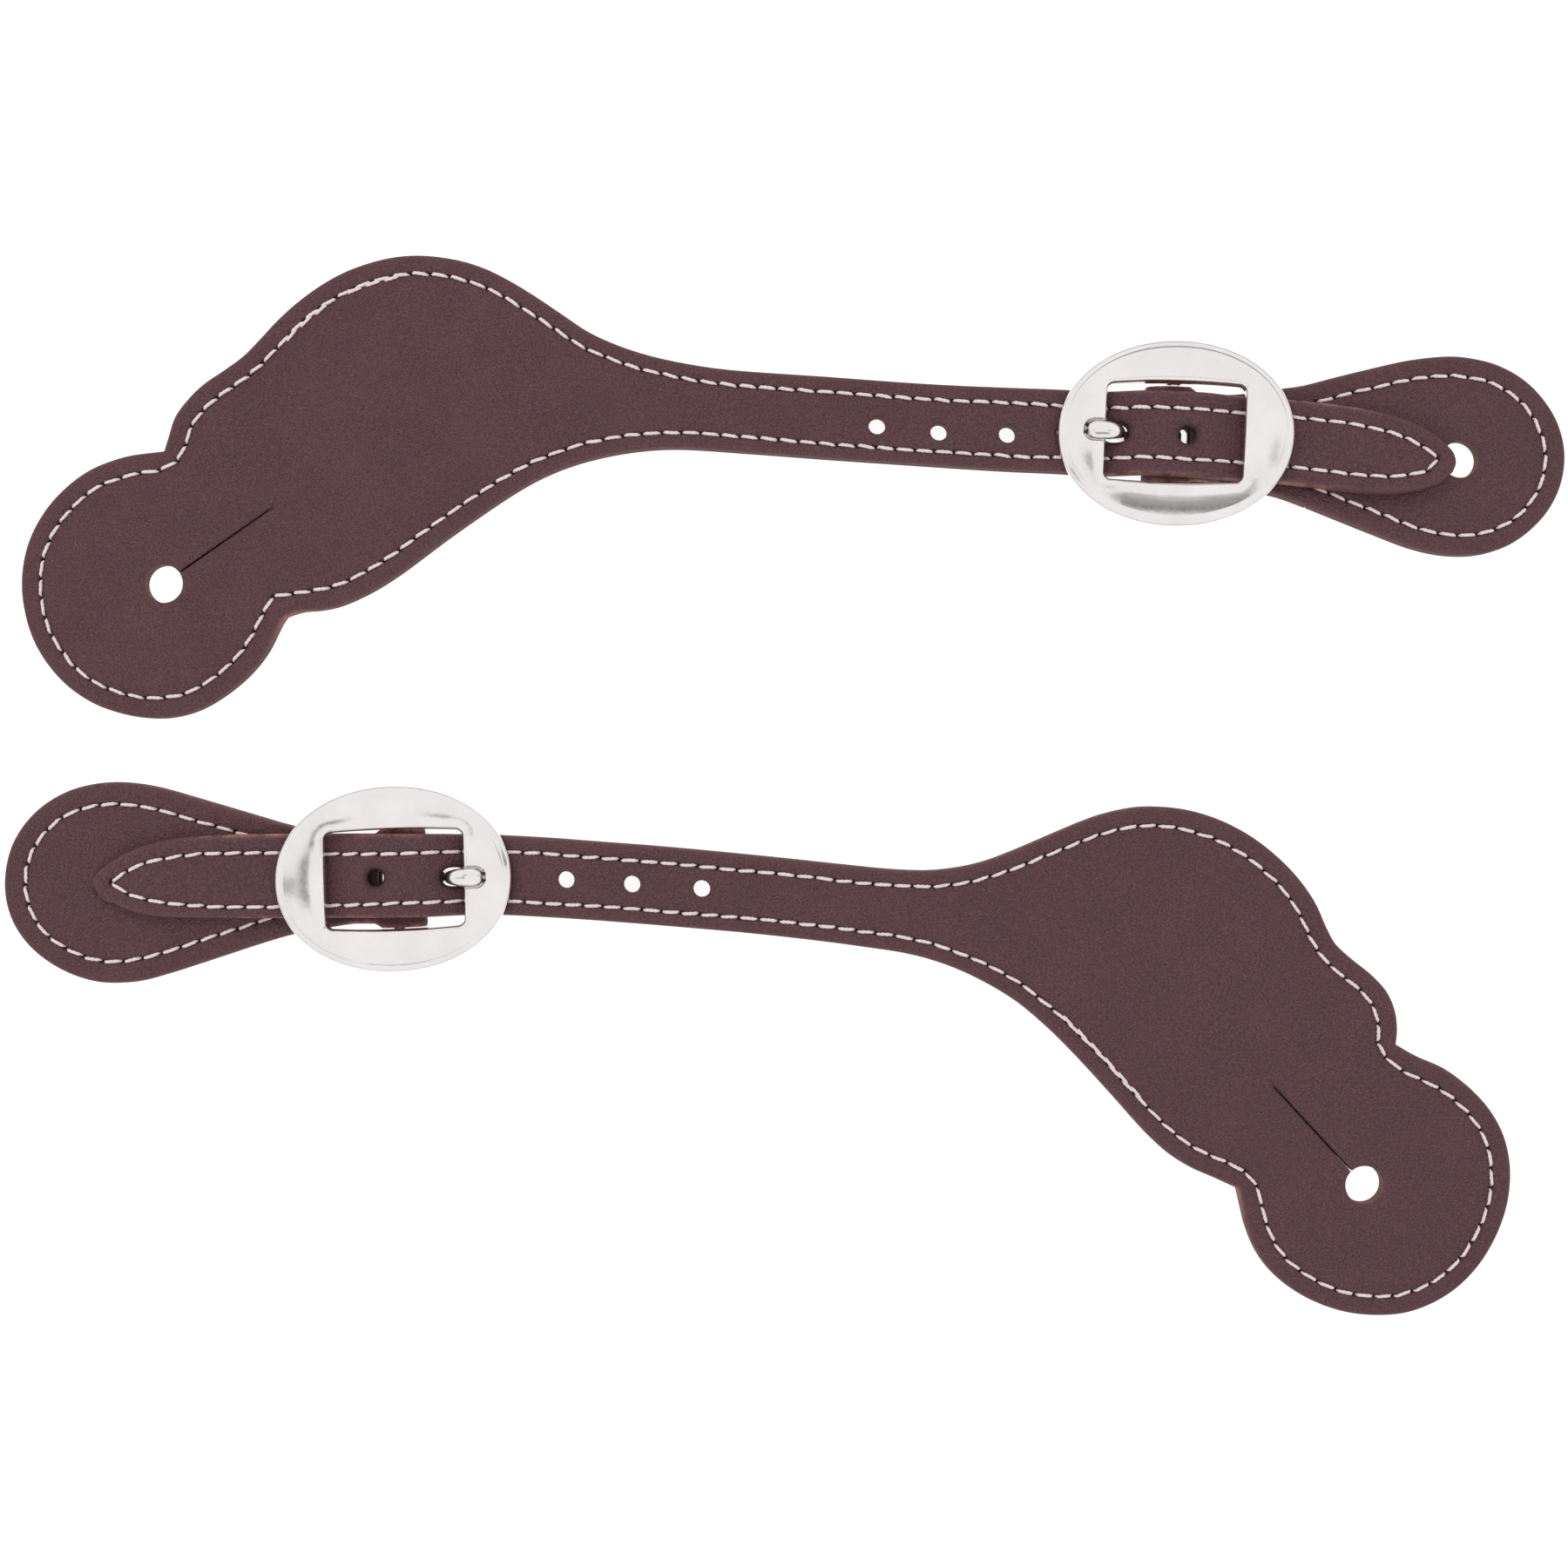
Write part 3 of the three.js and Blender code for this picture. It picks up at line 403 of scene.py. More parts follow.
def shell(name, V2, T, top, bottom, out3, attr, wall_attr, mats, rows=4, bulge=0.07):
    """Closed solid over a plane triangulation: top and bottom are 3D points for every
    plane vertex, out3 the outward direction at the rim. attr holds point attributes."""
    use, t = compact(V2, T)
    A, B = top[use], bottom[use]
    at = {k: v[use] for k, v in attr.items()}
    n = len(use)
    E = rim(t)
    ring = np.unique(E)
    back = -np.ones(n, int)
    back[ring] = np.arange(len(ring))
    V = [A, B]
    walls = []
    o3 = out3(V2[use], E, ring)
    for r in range(1, rows):
        f = r / rows
        V.append(A[ring] * (1 - f) + B[ring] * f + o3 * bulge * math.sin(math.pi * f))
        walls.append(f)
    V = np.vstack(V)
    F = [tuple(x) for x in t] + [tuple(x[::-1] + n) for x in t]
    mi = [0] * len(t) + [2] * len(t)
    level = [lambda i: i] + [lambda i, r=r: 2 * n + r * len(ring) + back[i] for r in range(rows - 1)] + [lambda i: i + n]
    for a, b in E:
        for r in range(rows):
            F.append((int(level[r + 1](a)), int(level[r + 1](b)), int(level[r](b)), int(level[r](a))))
            mi.append(1)
    out = {}
    for k, v in at.items():
        w = wall_attr.get(k)
        mid = v[ring] if w is None else w(V2[use][ring], v[ring])
        out[k] = np.concatenate([v, v * (0 if k in ("pit_and_shade",) else 1)] + [mid] * (rows - 1))
    W = metres(V)
    out["rp"] = V.astype(np.float32)
    return mesh_object(name, W, F, mats, mi, out)


def plan_out(V, E, ring):
    """Outward direction at the rim of a flat sheet."""
    n = np.zeros((len(V), 3))
    d = V[E[:, 1]] - V[E[:, 0]]
    d /= np.linalg.norm(d, axis=1)[:, None] + 1e-12
    for k in (0, 1):
        np.add.at(n[:, 0], E[:, k], d[:, 1])
        np.add.at(n[:, 1], E[:, k], -d[:, 0])
    n /= np.linalg.norm(n, axis=1)[:, None] + 1e-12
    return n[ring]


def edge_drop(d, r):
    x = np.clip(r - d, 0, r)
    return r - np.sqrt(np.maximum(r * r - x * x, 0))


# ------------------------------------------------------------------ stitches
def stitch_mesh(stitches, sides, segs):
    """stitches: list of (a, b, height function, up, half width, half height, seed)."""
    V, F = [], []
    for a, b, zf, up, hw, hh, seed, slant in stitches:
        d = b - a
        L = np.hypot(*d)
        u = d / L
        n = np.array([-u[1], u[0]])
        base = len(V)
        for i in range(segs + 1):
            t = i / segs
            # ends are packed closer together, where the thread dives into its hole
            t = 0.06 + 0.88 * (0.5 - 0.5 * math.cos(math.pi * t))
            x = min(t, 1 - t) * L
            prof = 0.12 - 0.85 / (1 + math.exp((x - 0.50) / 0.085))
            taper = 0.55 + 0.45 * min(1.0, max(0.0, (x - 0.35) / 0.75)) ** 0.6
            lat = slant * (0.5 - t) * 2 + 0.05 * math.sin(seed + 5 * t)
            c = a + d * t + n * lat
            z = float(zf(c)) + up * prof
            tw = seed + 4.2 * math.pi * t
            for k in range(sides):
                q = 2 * math.pi * k / sides
                w = (1 + 0.16 * math.cos(2 * (q - tw))) * taper
                V.append((c[0] + n[0] * hw * w * math.cos(q), c[1] + n[1] * hw * w * math.cos(q), z + hh * w * math.sin(q)))
        for i in range(segs):
            for k in range(sides):
                p, q = base + i * sides + k, base + i * sides + (k + 1) % sides
                F.append((p, q, q + sides, p + sides))
        F.append(tuple(base + k for k in range(sides))[::-1])
        F.append(tuple(base + segs * sides + k for k in range(sides)))
    return np.array(V), F


def orient(o):
    bm = bmesh.new()
    bm.from_mesh(o.data)
    bmesh.ops.recalc_face_normals(bm, faces=bm.faces)
    bm.to_mesh(o.data)
    bm.free()
    return o


# ------------------------------------------------------------------ materials
def material(name):
    m = bpy.data.materials.new(name)
    m.use_nodes = True
    nt = m.node_tree
    nt.nodes.clear()
    out = nt.nodes.new("ShaderNodeOutputMaterial")
    b = nt.nodes.new("ShaderNodeBsdfPrincipled")
    nt.links.new(b.outputs[0], out.inputs[0])
    return m, nt, b


class Kit:
    """Short helpers for building a node tree."""

    def __init__(self, nt):
        self.nt = nt

    def put(self, sock, v):
        if hasattr(v, "is_output"):
            self.nt.links.new(v, sock)
        elif v is not None:
            sock.default_value = v

    def attr(self, name, vector=False):
        n = self.nt.nodes.new("ShaderNodeAttribute")
        n.attribute_name = name
        return n.outputs["Vector" if vector else "Fac"]

    def scale(self, vec, s):
        n = self.nt.nodes.new("ShaderNodeMapping")
        n.inputs["Scale"].default_value = s
        self.put(n.inputs["Vector"], vec)
        return n.outputs[0]

    def noise(self, vec, scale, detail=4, rough=0.55, distort=0.0):
        n = self.nt.nodes.new("ShaderNodeTexNoise")
        self.put(n.inputs["Vector"], vec)
        n.inputs["Scale"].default_value = scale
        n.inputs["Detail"].default_value = detail
        n.inputs["Roughness"].default_value = rough
        n.inputs["Distortion"].default_value = distort
        return n.outputs[0]

    def cells(self, vec, scale, feature="F1", smoothness=0.4):
        n = self.nt.nodes.new("ShaderNodeTexVoronoi")
        n.feature = feature
        self.put(n.inputs["Vector"], vec)
        n.inputs["Scale"].default_value = scale
        if "Smoothness" in n.inputs and feature == "SMOOTH_F1":
            n.inputs["Smoothness"].default_value = smoothness
        return n.outputs["Distance"]

    def range(self, v, a, b, c=0.0, d=1.0):
        n = self.nt.nodes.new("ShaderNodeMapRange")
        n.clamp = True
        self.put(n.inputs["Value"], v)
        for k, x in zip(("From Min", "From Max", "To Min", "To Max"), (a, b, c, d)):
            n.inputs[k].default_value = x
        return n.outputs[0]

    def math(self, op, a, b=None):
        n = self.nt.nodes.new("ShaderNodeMath")
        n.operation = op
        self.put(n.inputs[0], a)
        if b is not None:
            self.put(n.inputs[1], b)
        return n.outputs[0]

    def mix(self, f, a, b, mode="MIX"):
        n = self.nt.nodes.new("ShaderNodeMix")
        n.data_type = "RGBA"
        n.blend_type = mode
        self.put(n.inputs[0], f)
        for s, v in ((n.inputs[6], a), (n.inputs[7], b)):
            self.put(s, v if hasattr(v, "is_output") else (*v, 1.0))
        return n.outputs[2]

    def bump(self, h, strength, dist, normal=None):
        n = self.nt.nodes.new("ShaderNodeBump")
        n.inputs["Strength"].default_value = strength
        n.inputs["Distance"].default_value = dist
        self.put(n.inputs["Height"], h)
        if normal is not None:
            self.put(n.inputs["Normal"], normal)
        return n.outputs[0]


GRAIN = (0.0675, 0.0262, 0.0322)
RAW = (0.35, 0.150, 0.115)


def make_grain():
    m, nt, b = material("leather_grain")
    k = Kit(nt)
    p = k.attr("rp", True)
    wide = k.noise(p, 0.09, 3)
    mott = k.noise(p, 0.9, 5, 0.6)
    fine = k.noise(p, 2.2, 5, 0.75)
    col = k.mix(k.range(wide, 0.36, 0.64), tuple(c * 0.88 for c in GRAIN), tuple(c * 1.10 for c in GRAIN))
    col = k.mix(k.range(mott, 0.42, 0.66, 0, 0.5), col, (0.098, 0.027, 0.029))
    col = k.mix(k.range(fine, 0.50, 0.66, 0, 0.75), col, (0.112, 0.060, 0.068))
    col = k.mix(k.range(fine, 0.50, 0.36, 0, 0.7), col, (0.034, 0.012, 0.016))
    speck = k.noise(p, 4.6, 4, 0.7)
    col = k.mix(k.range(speck, 0.5, 0.64, 0, 0.75), col, (0.030, 0.011, 0.014))
    col = k.mix(k.range(speck, 0.48, 0.36, 0, 0.6), col, (0.115, 0.062, 0.068))
    pores = k.cells(p, 2.1)
    col = k.mix(k.range(pores, 0.06, 0.34, 0.7, 0.0), col, (0.026, 0.010, 0.012))
    pebble = k.noise(p, 1.1, 2, 0.5, 0.8)
    edge = k.attr("edge")
    scuff = k.noise(p, 1.3, 5, 0.7)
    col = k.mix(k.math("MULTIPLY", edge, k.range(scuff, 0.3, 0.7, 0.15, 0.6)), col, (0.125, 0.052, 0.052))
    raw = k.attr("raw")
    fib = k.noise(k.scale(p, (0.9, 3.5, 1.0)), 1.6, 6, 0.7, 0.6)
    col = k.mix(k.math("MULTIPLY", raw, k.range(fib, 0.36, 0.56)), col, RAW)
    # painted shade: needle pits, and the rims of the bar hole, prong hole and slit, darken to near black, standing in
    # for shade in those hollows
    col = k.mix(k.attr("pit_and_shade"), col, (0.012, 0.006, 0.007))
    k.put(b.inputs["Base Color"], col)
    k.put(b.inputs["Roughness"], k.range(mott, 0.3, 0.7, 0.46, 0.60))
    b.inputs["Specular IOR Level"].default_value = 0.32
    h1 = k.cells(p, 2.1, "SMOOTH_F1")
    n1 = k.bump(h1, 0.95, 0.00022)
    n2 = k.bump(speck, 0.8, 0.00012, n1)
    n2 = k.bump(pebble, 0.6, 0.00030, n2)
    n3 = k.bump(k.noise(p, 0.5, 3), 0.4, 0.00045, n2)
    k.put(b.inputs["Normal"], n3)
    return m


def make_edge():
    m, nt, b = material("leather_edge")
    k = Kit(nt)
    p = k.attr("rp", True)
    fib = k.noise(k.scale(p, (0.5, 0.5, 4.5)), 1.5, 6, 0.7, 0.3)
    fine = k.noise(p, 4.0, 5, 0.7)
    col = k.mix(k.range(fib, 0.3, 0.7), (0.055, 0.021, 0.022), (0.115, 0.047, 0.043))
    col = k.mix(k.range(fine, 0.45, 0.75, 0, 0.45), col, (0.17, 0.070, 0.060))
    raw = k.attr("raw")
    col = k.mix(k.math("MULTIPLY", raw, k.range(fine, 0.28, 0.6, 0.25, 1.0)), col, RAW)
    hole = k.attr("hole")
    col = k.mix(k.math("MULTIPLY", hole, k.range(fine, 0.25, 0.65, 0.35, 0.9)), col, (0.13, 0.055, 0.040))
    # painted shade: flagged hole walls are coloured near black, in place of the shade inside the hole
    col = k.mix(k.attr("hole_wall_shade"), col, (0.020, 0.010, 0.010))
    k.put(b.inputs["Base Color"], col)
    k.put(b.inputs["Roughness"], k.range(fine, 0.3, 0.7, 0.55, 0.78))
    b.inputs["Specular IOR Level"].default_value = 0.28
    k.put(b.inputs["Normal"], k.bump(fib, 0.6, 0.00018, k.bump(fine, 0.5, 0.00010)))
    return m


def make_flesh():
    m, nt, b = material("leather_flesh")
    k = Kit(nt)
    p = k.attr("rp", True)
    nap = k.noise(p, 5.0, 6, 0.75, 0.5)
    wide = k.noise(p, 0.25, 4, 0.6)
    col = k.mix(k.range(wide, 0.3, 0.7), (0.11, 0.055, 0.05), (0.155, 0.08, 0.07))
    col = k.mix(k.range(nap, 0.35, 0.7, 0, 0.55), col, (0.22, 0.12, 0.10))
    # painted shade: needle pits darken to near black, standing in for shade in the holes
    col = k.mix(k.attr("pit_and_shade"), col, (0.02, 0.01, 0.01))
    k.put(b.inputs["Base Color"], col)
    b.inputs["Roughness"].default_value = 0.85
    b.inputs["Specular IOR Level"].default_value = 0.2
    k.put(b.inputs["Normal"], k.bump(nap, 0.7, 0.00015))
    return m


def make_thread():
    m, nt, b = material("thread")
    k = Kit(nt)
    p = k.attr("rp", True)
    f = k.noise(p, 6.0, 4, 0.7)
    soil = k.noise(p, 0.5, 3)
    col = k.mix(k.range(f, 0.32, 0.62), (0.44, 0.37, 0.375), (0.69, 0.605, 0.61))
    col = k.mix(k.range(soil, 0.55, 0.8, 0, 0.25), col, (0.55, 0.43, 0.42))
    k.put(b.inputs["Base Color"], col)
    b.inputs["Roughness"].default_value = 0.7
    b.inputs["Specular IOR Level"].default_value = 0.25
    k.put(b.inputs["Normal"], k.bump(f, 0.5, 0.00008))
    return m


def make_steel():
    m, nt, b = material("steel")
    k = Kit(nt)
    p = k.attr("rp", True)
    wide = k.noise(p, 0.12, 3)
    grit = k.noise(p, 5.5, 5, 0.7)
    lines = k.noise(k.scale(p, (0.35, 6.0, 6.0)), 1.6, 4, 0.7)
    col = k.mix(k.range(wide, 0.3, 0.7), (0.805, 0.78, 0.775), (0.875, 0.85, 0.848))
    col = k.mix(k.range(grit, 0.5, 0.8, 0, 0.35), col, (0.73, 0.71, 0.705))
    b.inputs["Metallic"].default_value = 1.0
    k.put(b.inputs["Base Color"], col)
    k.put(b.inputs["Roughness"], k.range(k.noise(p, 1.2, 4), 0.3, 0.7, 0.09, 0.17))
    n1 = k.bump(grit, 0.10, 0.00003)
    n2 = k.bump(lines, 0.10, 0.00003, n1)
    k.put(b.inputs["Normal"], k.bump(k.noise(p, 0.28, 2), 0.16, 0.00022, n2))
    return m


GRAIN_M, EDGE_M, FLESH_M, THREAD_M, STEEL_M = make_grain(), make_edge(), make_flesh(), make_thread(), make_steel()
LEATHER = [GRAIN_M, EDGE_M, FLESH_M]
LEATHER_IN = [FLESH_M, EDGE_M, FLESH_M]


# ------------------------------------------------------------------ one strap
def build(S):
    side = S["side"]
    a = math.radians(S["dir"])
    eu = np.array([math.cos(a), math.sin(a)])
    ev = np.array([math.sin(a), -math.cos(a)]) if S["mirror"] else np.array([-math.sin(a), math.cos(a)])
    bar = np.array(S["bar"], float)
    sgn = -1.0 if S["mirror"] else 1.0

    def xy(uv):
        uv = np.asarray(uv, float).reshape(-1, 2)
        return bar + uv[:, :1] * eu + uv[:, 1:] * ev

    def uv(p):
        q = np.asarray(p, float).reshape(-1, 2) - bar
        return np.c_[q @ eu, q @ ev]

    def world3(p):
        """A point of the frame, in metres, from u, v, z in millimetres."""
        q = xy([[p[0], p[1]]])[0]
        return ((q[0] + SHIFT[0]) * 0.001, (q[1] + SHIFT[1]) * 0.001, p[2] * 0.001)

    # ---- the long strap's outline, cut into three shown pieces at rigid places
    A, B, C = smooth(S["edgeA"]), smooth(S["edgeB"]), smooth(S["edgeC"])
    bt, tip, bb = smooth(S["billetTop"]), smooth(S["billetTip"]), smooth(S["billetBottom"])
    outline = join(A, B, C, bb[::-1], tip[::-1], bt[::-1])
    nx = -5.0 if side == "left" else 5.0

    def cut_at(x0, normal):
        """Where a line square to normal through x0 meets the outline on both sides."""
        t = np.array([-normal[1], normal[0]])
        q = outline - x0
        m = np.abs(q @ normal) < 1.0
        c = outline[m]
        s = (c - x0) @ t
        lim = np.abs(s) < 16
        c, s = c[lim], s[lim]
        return c[np.argmax(s)], c[np.argmin(s)]

    fa = math.radians(S["wingFlexDir"])
    fe = np.array([math.cos(fa), math.sin(fa)])
    flex = np.array(S["wingFlex"], float)
    mid_y = outline[np.abs(outline[:, 0] - nx) < 1.0][:, 1].mean()
    seam1 = cut_at(np.array([nx, mid_y]), fe)
    seam2 = cut_at(xy([[21.0, 0]])[0], eu)

    holes = []
    for c in S["holes"][:4]:
        u0 = uv([c])[0, 0]
        if -20 < u0 < -5:
            continue
        holes.append(circle(c, 1.95))
    barc = np.array(S["holes"][4]) + 0.45 * eu
    holes.append(circle(barc, 1.85))
    t = np.linspace(0, 2 * np.pi, 40, endpoint=False)
    prong_hole = xy(np.c_[-12.75 + 2.7 * np.sign(np.cos(t)) * np.abs(np.cos(t)) ** 0.8, 2.2 * np.sign(np.sin(t)) * np.abs(np.sin(t)) ** 0.8])
    holes.append(prong_hole)
    key = keyhole(S["wingHole"], 4.3, S["wingSlit"])
    holes.append(key)

    # ---- sewn line round the whole strap
    look = lambda key: np.interp(outline[:, 0], [q[0] for q in S[key]], [q[1] for q in S[key]])
    far = np.where(uv(outline)[:, 1] > 0, look("sewTop"), look("sewLow"))
    path = inset(outline, far)
    # the line turns sharply at the two notches, with a needle slot in each corner
    corners = [np.array(v, float) + np.array(d) for v, d in zip((S["edgeB"][0], S["edgeC"][0]), S["corner"])]
    for v in corners:
        path = resample(path, 0.4, closed=True)
        d = np.hypot(*(path - v).T)
        path = np.roll(path, -int(np.argmin(d)), 0)
        d = np.hypot(*(path - v).T)
        path = np.vstack([v, path[d > 3.2]])
    path = resample(path, 0.4, closed=True)
    n = int(round(len(path) * 0.4 / PITCH))
    needles = resample(path, len(path) * 0.4 / n, closed=True)
    needles = needles + rng.normal(0, 0.05, needles.shape)
    for v in corners:
        i = int(np.argmin(np.hypot(*(needles - v).T)))
        step = v - needles[i]
        for k, f in ((0, 1.0), (1, 0.45), (-1, 0.45), (2, 0.15), (-2, 0.15)):
            w = needles[(i + k) % len(needles)]
            along = needles[(i + k + 1) % len(needles)] - needles[(i + k - 1) % len(needles)]
            along = along / np.hypot(*along)
            w += f * (step if k == 0 else (step @ along) * along)
    rows = [resample(path + normals_in(path) * d, 0.8, closed=True) for d in (0, -0.35, 0.35, -0.7, 0.7)]

    V, T, cuts = triangulate(outline, holes, [seam1, seam2], rows, needles, 1.8)
    d_edge = nearest(V, outline)
    d_line = nearest(V, path)
    d_pit = slots(V, needles, True)
    d_hole = np.full(len(V), 99.0)
    d_key = nearest(V, key)
    for h in holes[:-1]:
        d_hole = np.minimum(d_hole, nearest(V, h))
    UV = uv(V)
    base = strap_low(UV[:, 0])
    slow = 0.05 * wave(V, 38, 3) + 0.025 * wave(V, 9, 4)
    slow *= np.clip(d_edge / 3, 0, 1)

    groove = 0.20 * np.exp(-((d_line / 0.62) ** 2))
    # needle pits: this mask sinks the surface at each needle slot and also drives a painted shade colour in the
    # leather materials
    pit_and_shade = np.exp(-(d_pit**4))
    top = PLY + 0.02 - edge_drop(d_edge, 0.85) - groove - 0.75 * pit_and_shade + np.minimum(slow, 0.12)
    top -= 0.35 * np.clip(1 - d_hole / 0.75, 0, 1) ** 2 + 0.22 * np.clip(1 - d_key / 0.45, 0, 1) ** 2
    top -= 0.45 * np.exp(-((np.maximum(near_points(V, np.array([barc])) - 1.85, 0) / 0.55) ** 2))
    top -= 0.30 * np.exp(-((nearest(V, prong_hole) / 0.5) ** 2))
    # the leather swells a little just outside the sewn line
    top += 0.05 * np.exp(-(((d_edge - 2.1) / 0.9) ** 2))
    top = np.maximum(top, LINING + 0.75)
    low = 0.03 + edge_drop(d_edge, 0.5) + 0.34 * np.exp(-((d_line / 0.55) ** 2)) + 0.45 * pit_and_shade
    low = np.minimum(low, 0.9)

    raw = np.zeros(len(V))
    uu, vv = UV[:, 0], UV[:, 1]
    # torn fibres along the tongue's edges where the rim has scraped them
    worn = np.clip(0.62 + 0.5 * wave(V, 5.5, 11) + 0.35 * wave(V, 1.7, 12), 0, 1)
    k = step01((uu - 22) / 3) * (1 - step01((uu - 36) / 12)) * worn
    raw += k * np.exp(-((d_edge / 0.5) ** 2)) * (vv > 0) * 0.95
    k = step01((uu - 22) / 3) * (1 - step01((uu - 31) / 7)) * worn
    raw += k * np.exp(-((d_edge / 0.33) ** 2)) * (vv < 0) * 0.75
    k = step01((uu + 16) / 3) * (1 - step01((uu - 20) / 3))
    raw += 0.65 * k * worn * np.exp(-((d_edge / 0.5) ** 2))
    notch = np.array(S["edgeC"][0], float)
    raw += 0.7 * np.exp(-((near_points(V, notch[None]) / 5.0) ** 2)) * np.exp(-((d_edge / 0.4) ** 2))
    edge = np.exp(-((d_edge / 0.75) ** 2)) + 0.6 * np.exp(-((np.minimum(d_hole, d_key) / 0.4) ** 2))
    hole = (np.minimum(d_hole, d_key) < 0.01).astype(float)
    # painted shade: the walls of the bar hole, the prong hole and the wing slit are flagged here to be coloured near
    # black, standing in for the shade inside them
    shaded_hole_walls = (nearest(V, circle(barc, 1.85)) < 0.4) | (nearest(V, prong_hole) < 0.3)
    A3 = lambda z: np.c_[V, base + z]
    # painted shade: dark halos round the bar hole and the prong hole, and a dark line along the wing slit, are added
    # to the pit mask, standing in for shade in the dip and the cut
    pit_and_shade = np.maximum(pit_and_shade, 0.75 * np.exp(-((near_points(V, np.array([barc])) - 1.7) / 0.75) ** 2))
    pit_and_shade = np.maximum(pit_and_shade, 0.5 * np.exp(-((nearest(V, prong_hole) / 0.45) ** 2)))
    s0, s1 = np.array(S["wingHole"], float), np.array(S["wingSlit"], float)
    sd = (s1 - s0) / np.hypot(*(s1 - s0))
    slit = nearest(V, np.linspace(s0 + sd * 4.9, s1, 120), closed=False)
    pit_and_shade = np.maximum(pit_and_shade, np.exp(-((np.maximum(slit - 0.12, 0) / 0.16) ** 2)))
    shaded_hole_walls |= slit < 0.3
    attr = {"edge": np.clip(edge, 0, 1), "pit_and_shade": np.clip(pit_and_shade, 0, 1), "raw": np.clip(raw, 0, 1), "hole": hole, "hole_wall_shade": shaded_hole_walls.astype(float)}
    keep_hole = {"hole": lambda P, v: v}

    def part(sel):
        c = V[T].mean(1)
        return T[sel(c)]

    def past(cut, away):
        p, q = cut
        d = q - p
        nn = np.array([-d[1], d[0]])
        if nn @ away < 0:
            nn = -nn
        return lambda c: (c - p) @ nn > 0

    toward = eu if abs(eu @ fe) > 0 else fe
    after1, after2 = past(cuts[0], toward), past(cuts[1], toward)
    T1 = part(lambda c: ~after1(c))
    T2 = part(lambda c: after1(c) & ~after2(c))
    T3 = part(lambda c: after2(c))
    seam_z = LINING
    bends = [
        ("wing", T1, (f"{side}_wing", f"{side}_strap"), flex - fe * 14, flex + fe * 14, 3.6),
        ("strap", T2, (f"{side}_strap", f"{side}_billet"), xy([[-52, 0]])[0], xy([[-38, 0]])[0], 3.6),
        ("tongue", T3, (f"{side}_billet", f"{side}_tongue"), xy([[24.0, 0]])[0], xy([[34.0, 0]])[0], 7.5),
    ]
    repl = {
        "wing": [f"{side}_wing_face"],
        "strap": [f"{side}_strap_face", f"{side}_billet_face"],
        "tongue": [f"{side}_tongue_face"],
    }

    def bend(o, b):
        _, _, (p, q), s, e, z = b
        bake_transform(o)

    chamfer = 0.10 * np.clip(1 - d_edge / 0.25, 0, 1)
    for b in bends:
        nm, t3 = b[0], b[1]
        o = shell(f"{side}_{nm}_grain_ply", V, t3, A3(top), A3(np.full(len(V), seam_z + 0.01) + chamfer), plan_out, attr, keep_hole, LEATHER, rows=4)
        bend(o, b)
        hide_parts(*repl[nm])
        o = shell(f"{side}_{nm}_flesh_ply", V, t3, A3(np.full(len(V), seam_z - 0.01) - chamfer), A3(low), plan_out, attr, keep_hole, LEATHER_IN, rows=3)
        bend(o, b)
        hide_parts(*[x.replace("_face", "_lining") for x in repl[nm]])

    # ---- its stitches, on the grain side and on the flesh side
    def zt(c):
        return float(strap_low(uv(c)[0, 0])) + PLY - 0.02

    def zb(c):
        return float(strap_low(uv(c)[0, 0])) + 0.30

    st = {"wing": [], "strap": [], "tongue": []}
    over = S["overlap"]
    N = len(needles)
    for i in range(N):
        p, q = needles[i], needles[(i + 1) % N]
        c = (p + q)[None] / 2
        nm = "tongue" if after2(c)[0] else ("strap" if after1(c)[0] else "wing")
        jit = rng.normal(0, 1, 3)
        nrm = 0.13 + 0.05 * jit[0]
        st[nm].append((p, q, i + jit[1], nrm * sgn))
        if near_points(c, np.array(over))[0] < 6.5:
            m1, m2 = p + (q - p) * 0.5, q + (needles[(i + 2) % N] - q) * 0.5
            nn = np.array([-(q - p)[1], (q - p)[0]]) / np.hypot(*(q - p))
            st[nm].append((m1 + nn * 0.3, m2 + nn * 0.3, i + 9.0, -nrm * sgn))
    for b in bends:
        nm = b[0]
        up = [(p, q, zt, 1.0, 0.37 + 0.02 * math.sin(s), 0.27, s, sl) for p, q, s, sl in st[nm]]
        dn = [(p, q, zb, -0.8, 0.38, 0.15, s, -sl) for p, q, s, sl in st[nm]]
        V1, F1 = stitch_mesh(up, 8, 12)
        V2, F2 = stitch_mesh(dn, 6, 8)
        F = F1 + [tuple(x + len(V1) for x in f) for f in F2]
        VV = np.vstack([V1, V2])
        o = orient(mesh_object(f"{side}_{nm}_stitching", metres(VV), F, [THREAD_M], None, {"rp": VV}, sharp=70))
        bend(o, b)
        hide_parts(*{"wing": [f"{side}_wing_thread"], "strap": [f"{side}_strap_thread_upper", f"{side}_strap_thread_lower", f"{side}_billet_thread_upper", f"{side}_billet_thread_lower"], "tongue": [f"{side}_tongue_thread"]}[nm])

    build_tab(S, xy, uv, sgn)
    build_buckle(S, xy, uv)
    return xy, uv


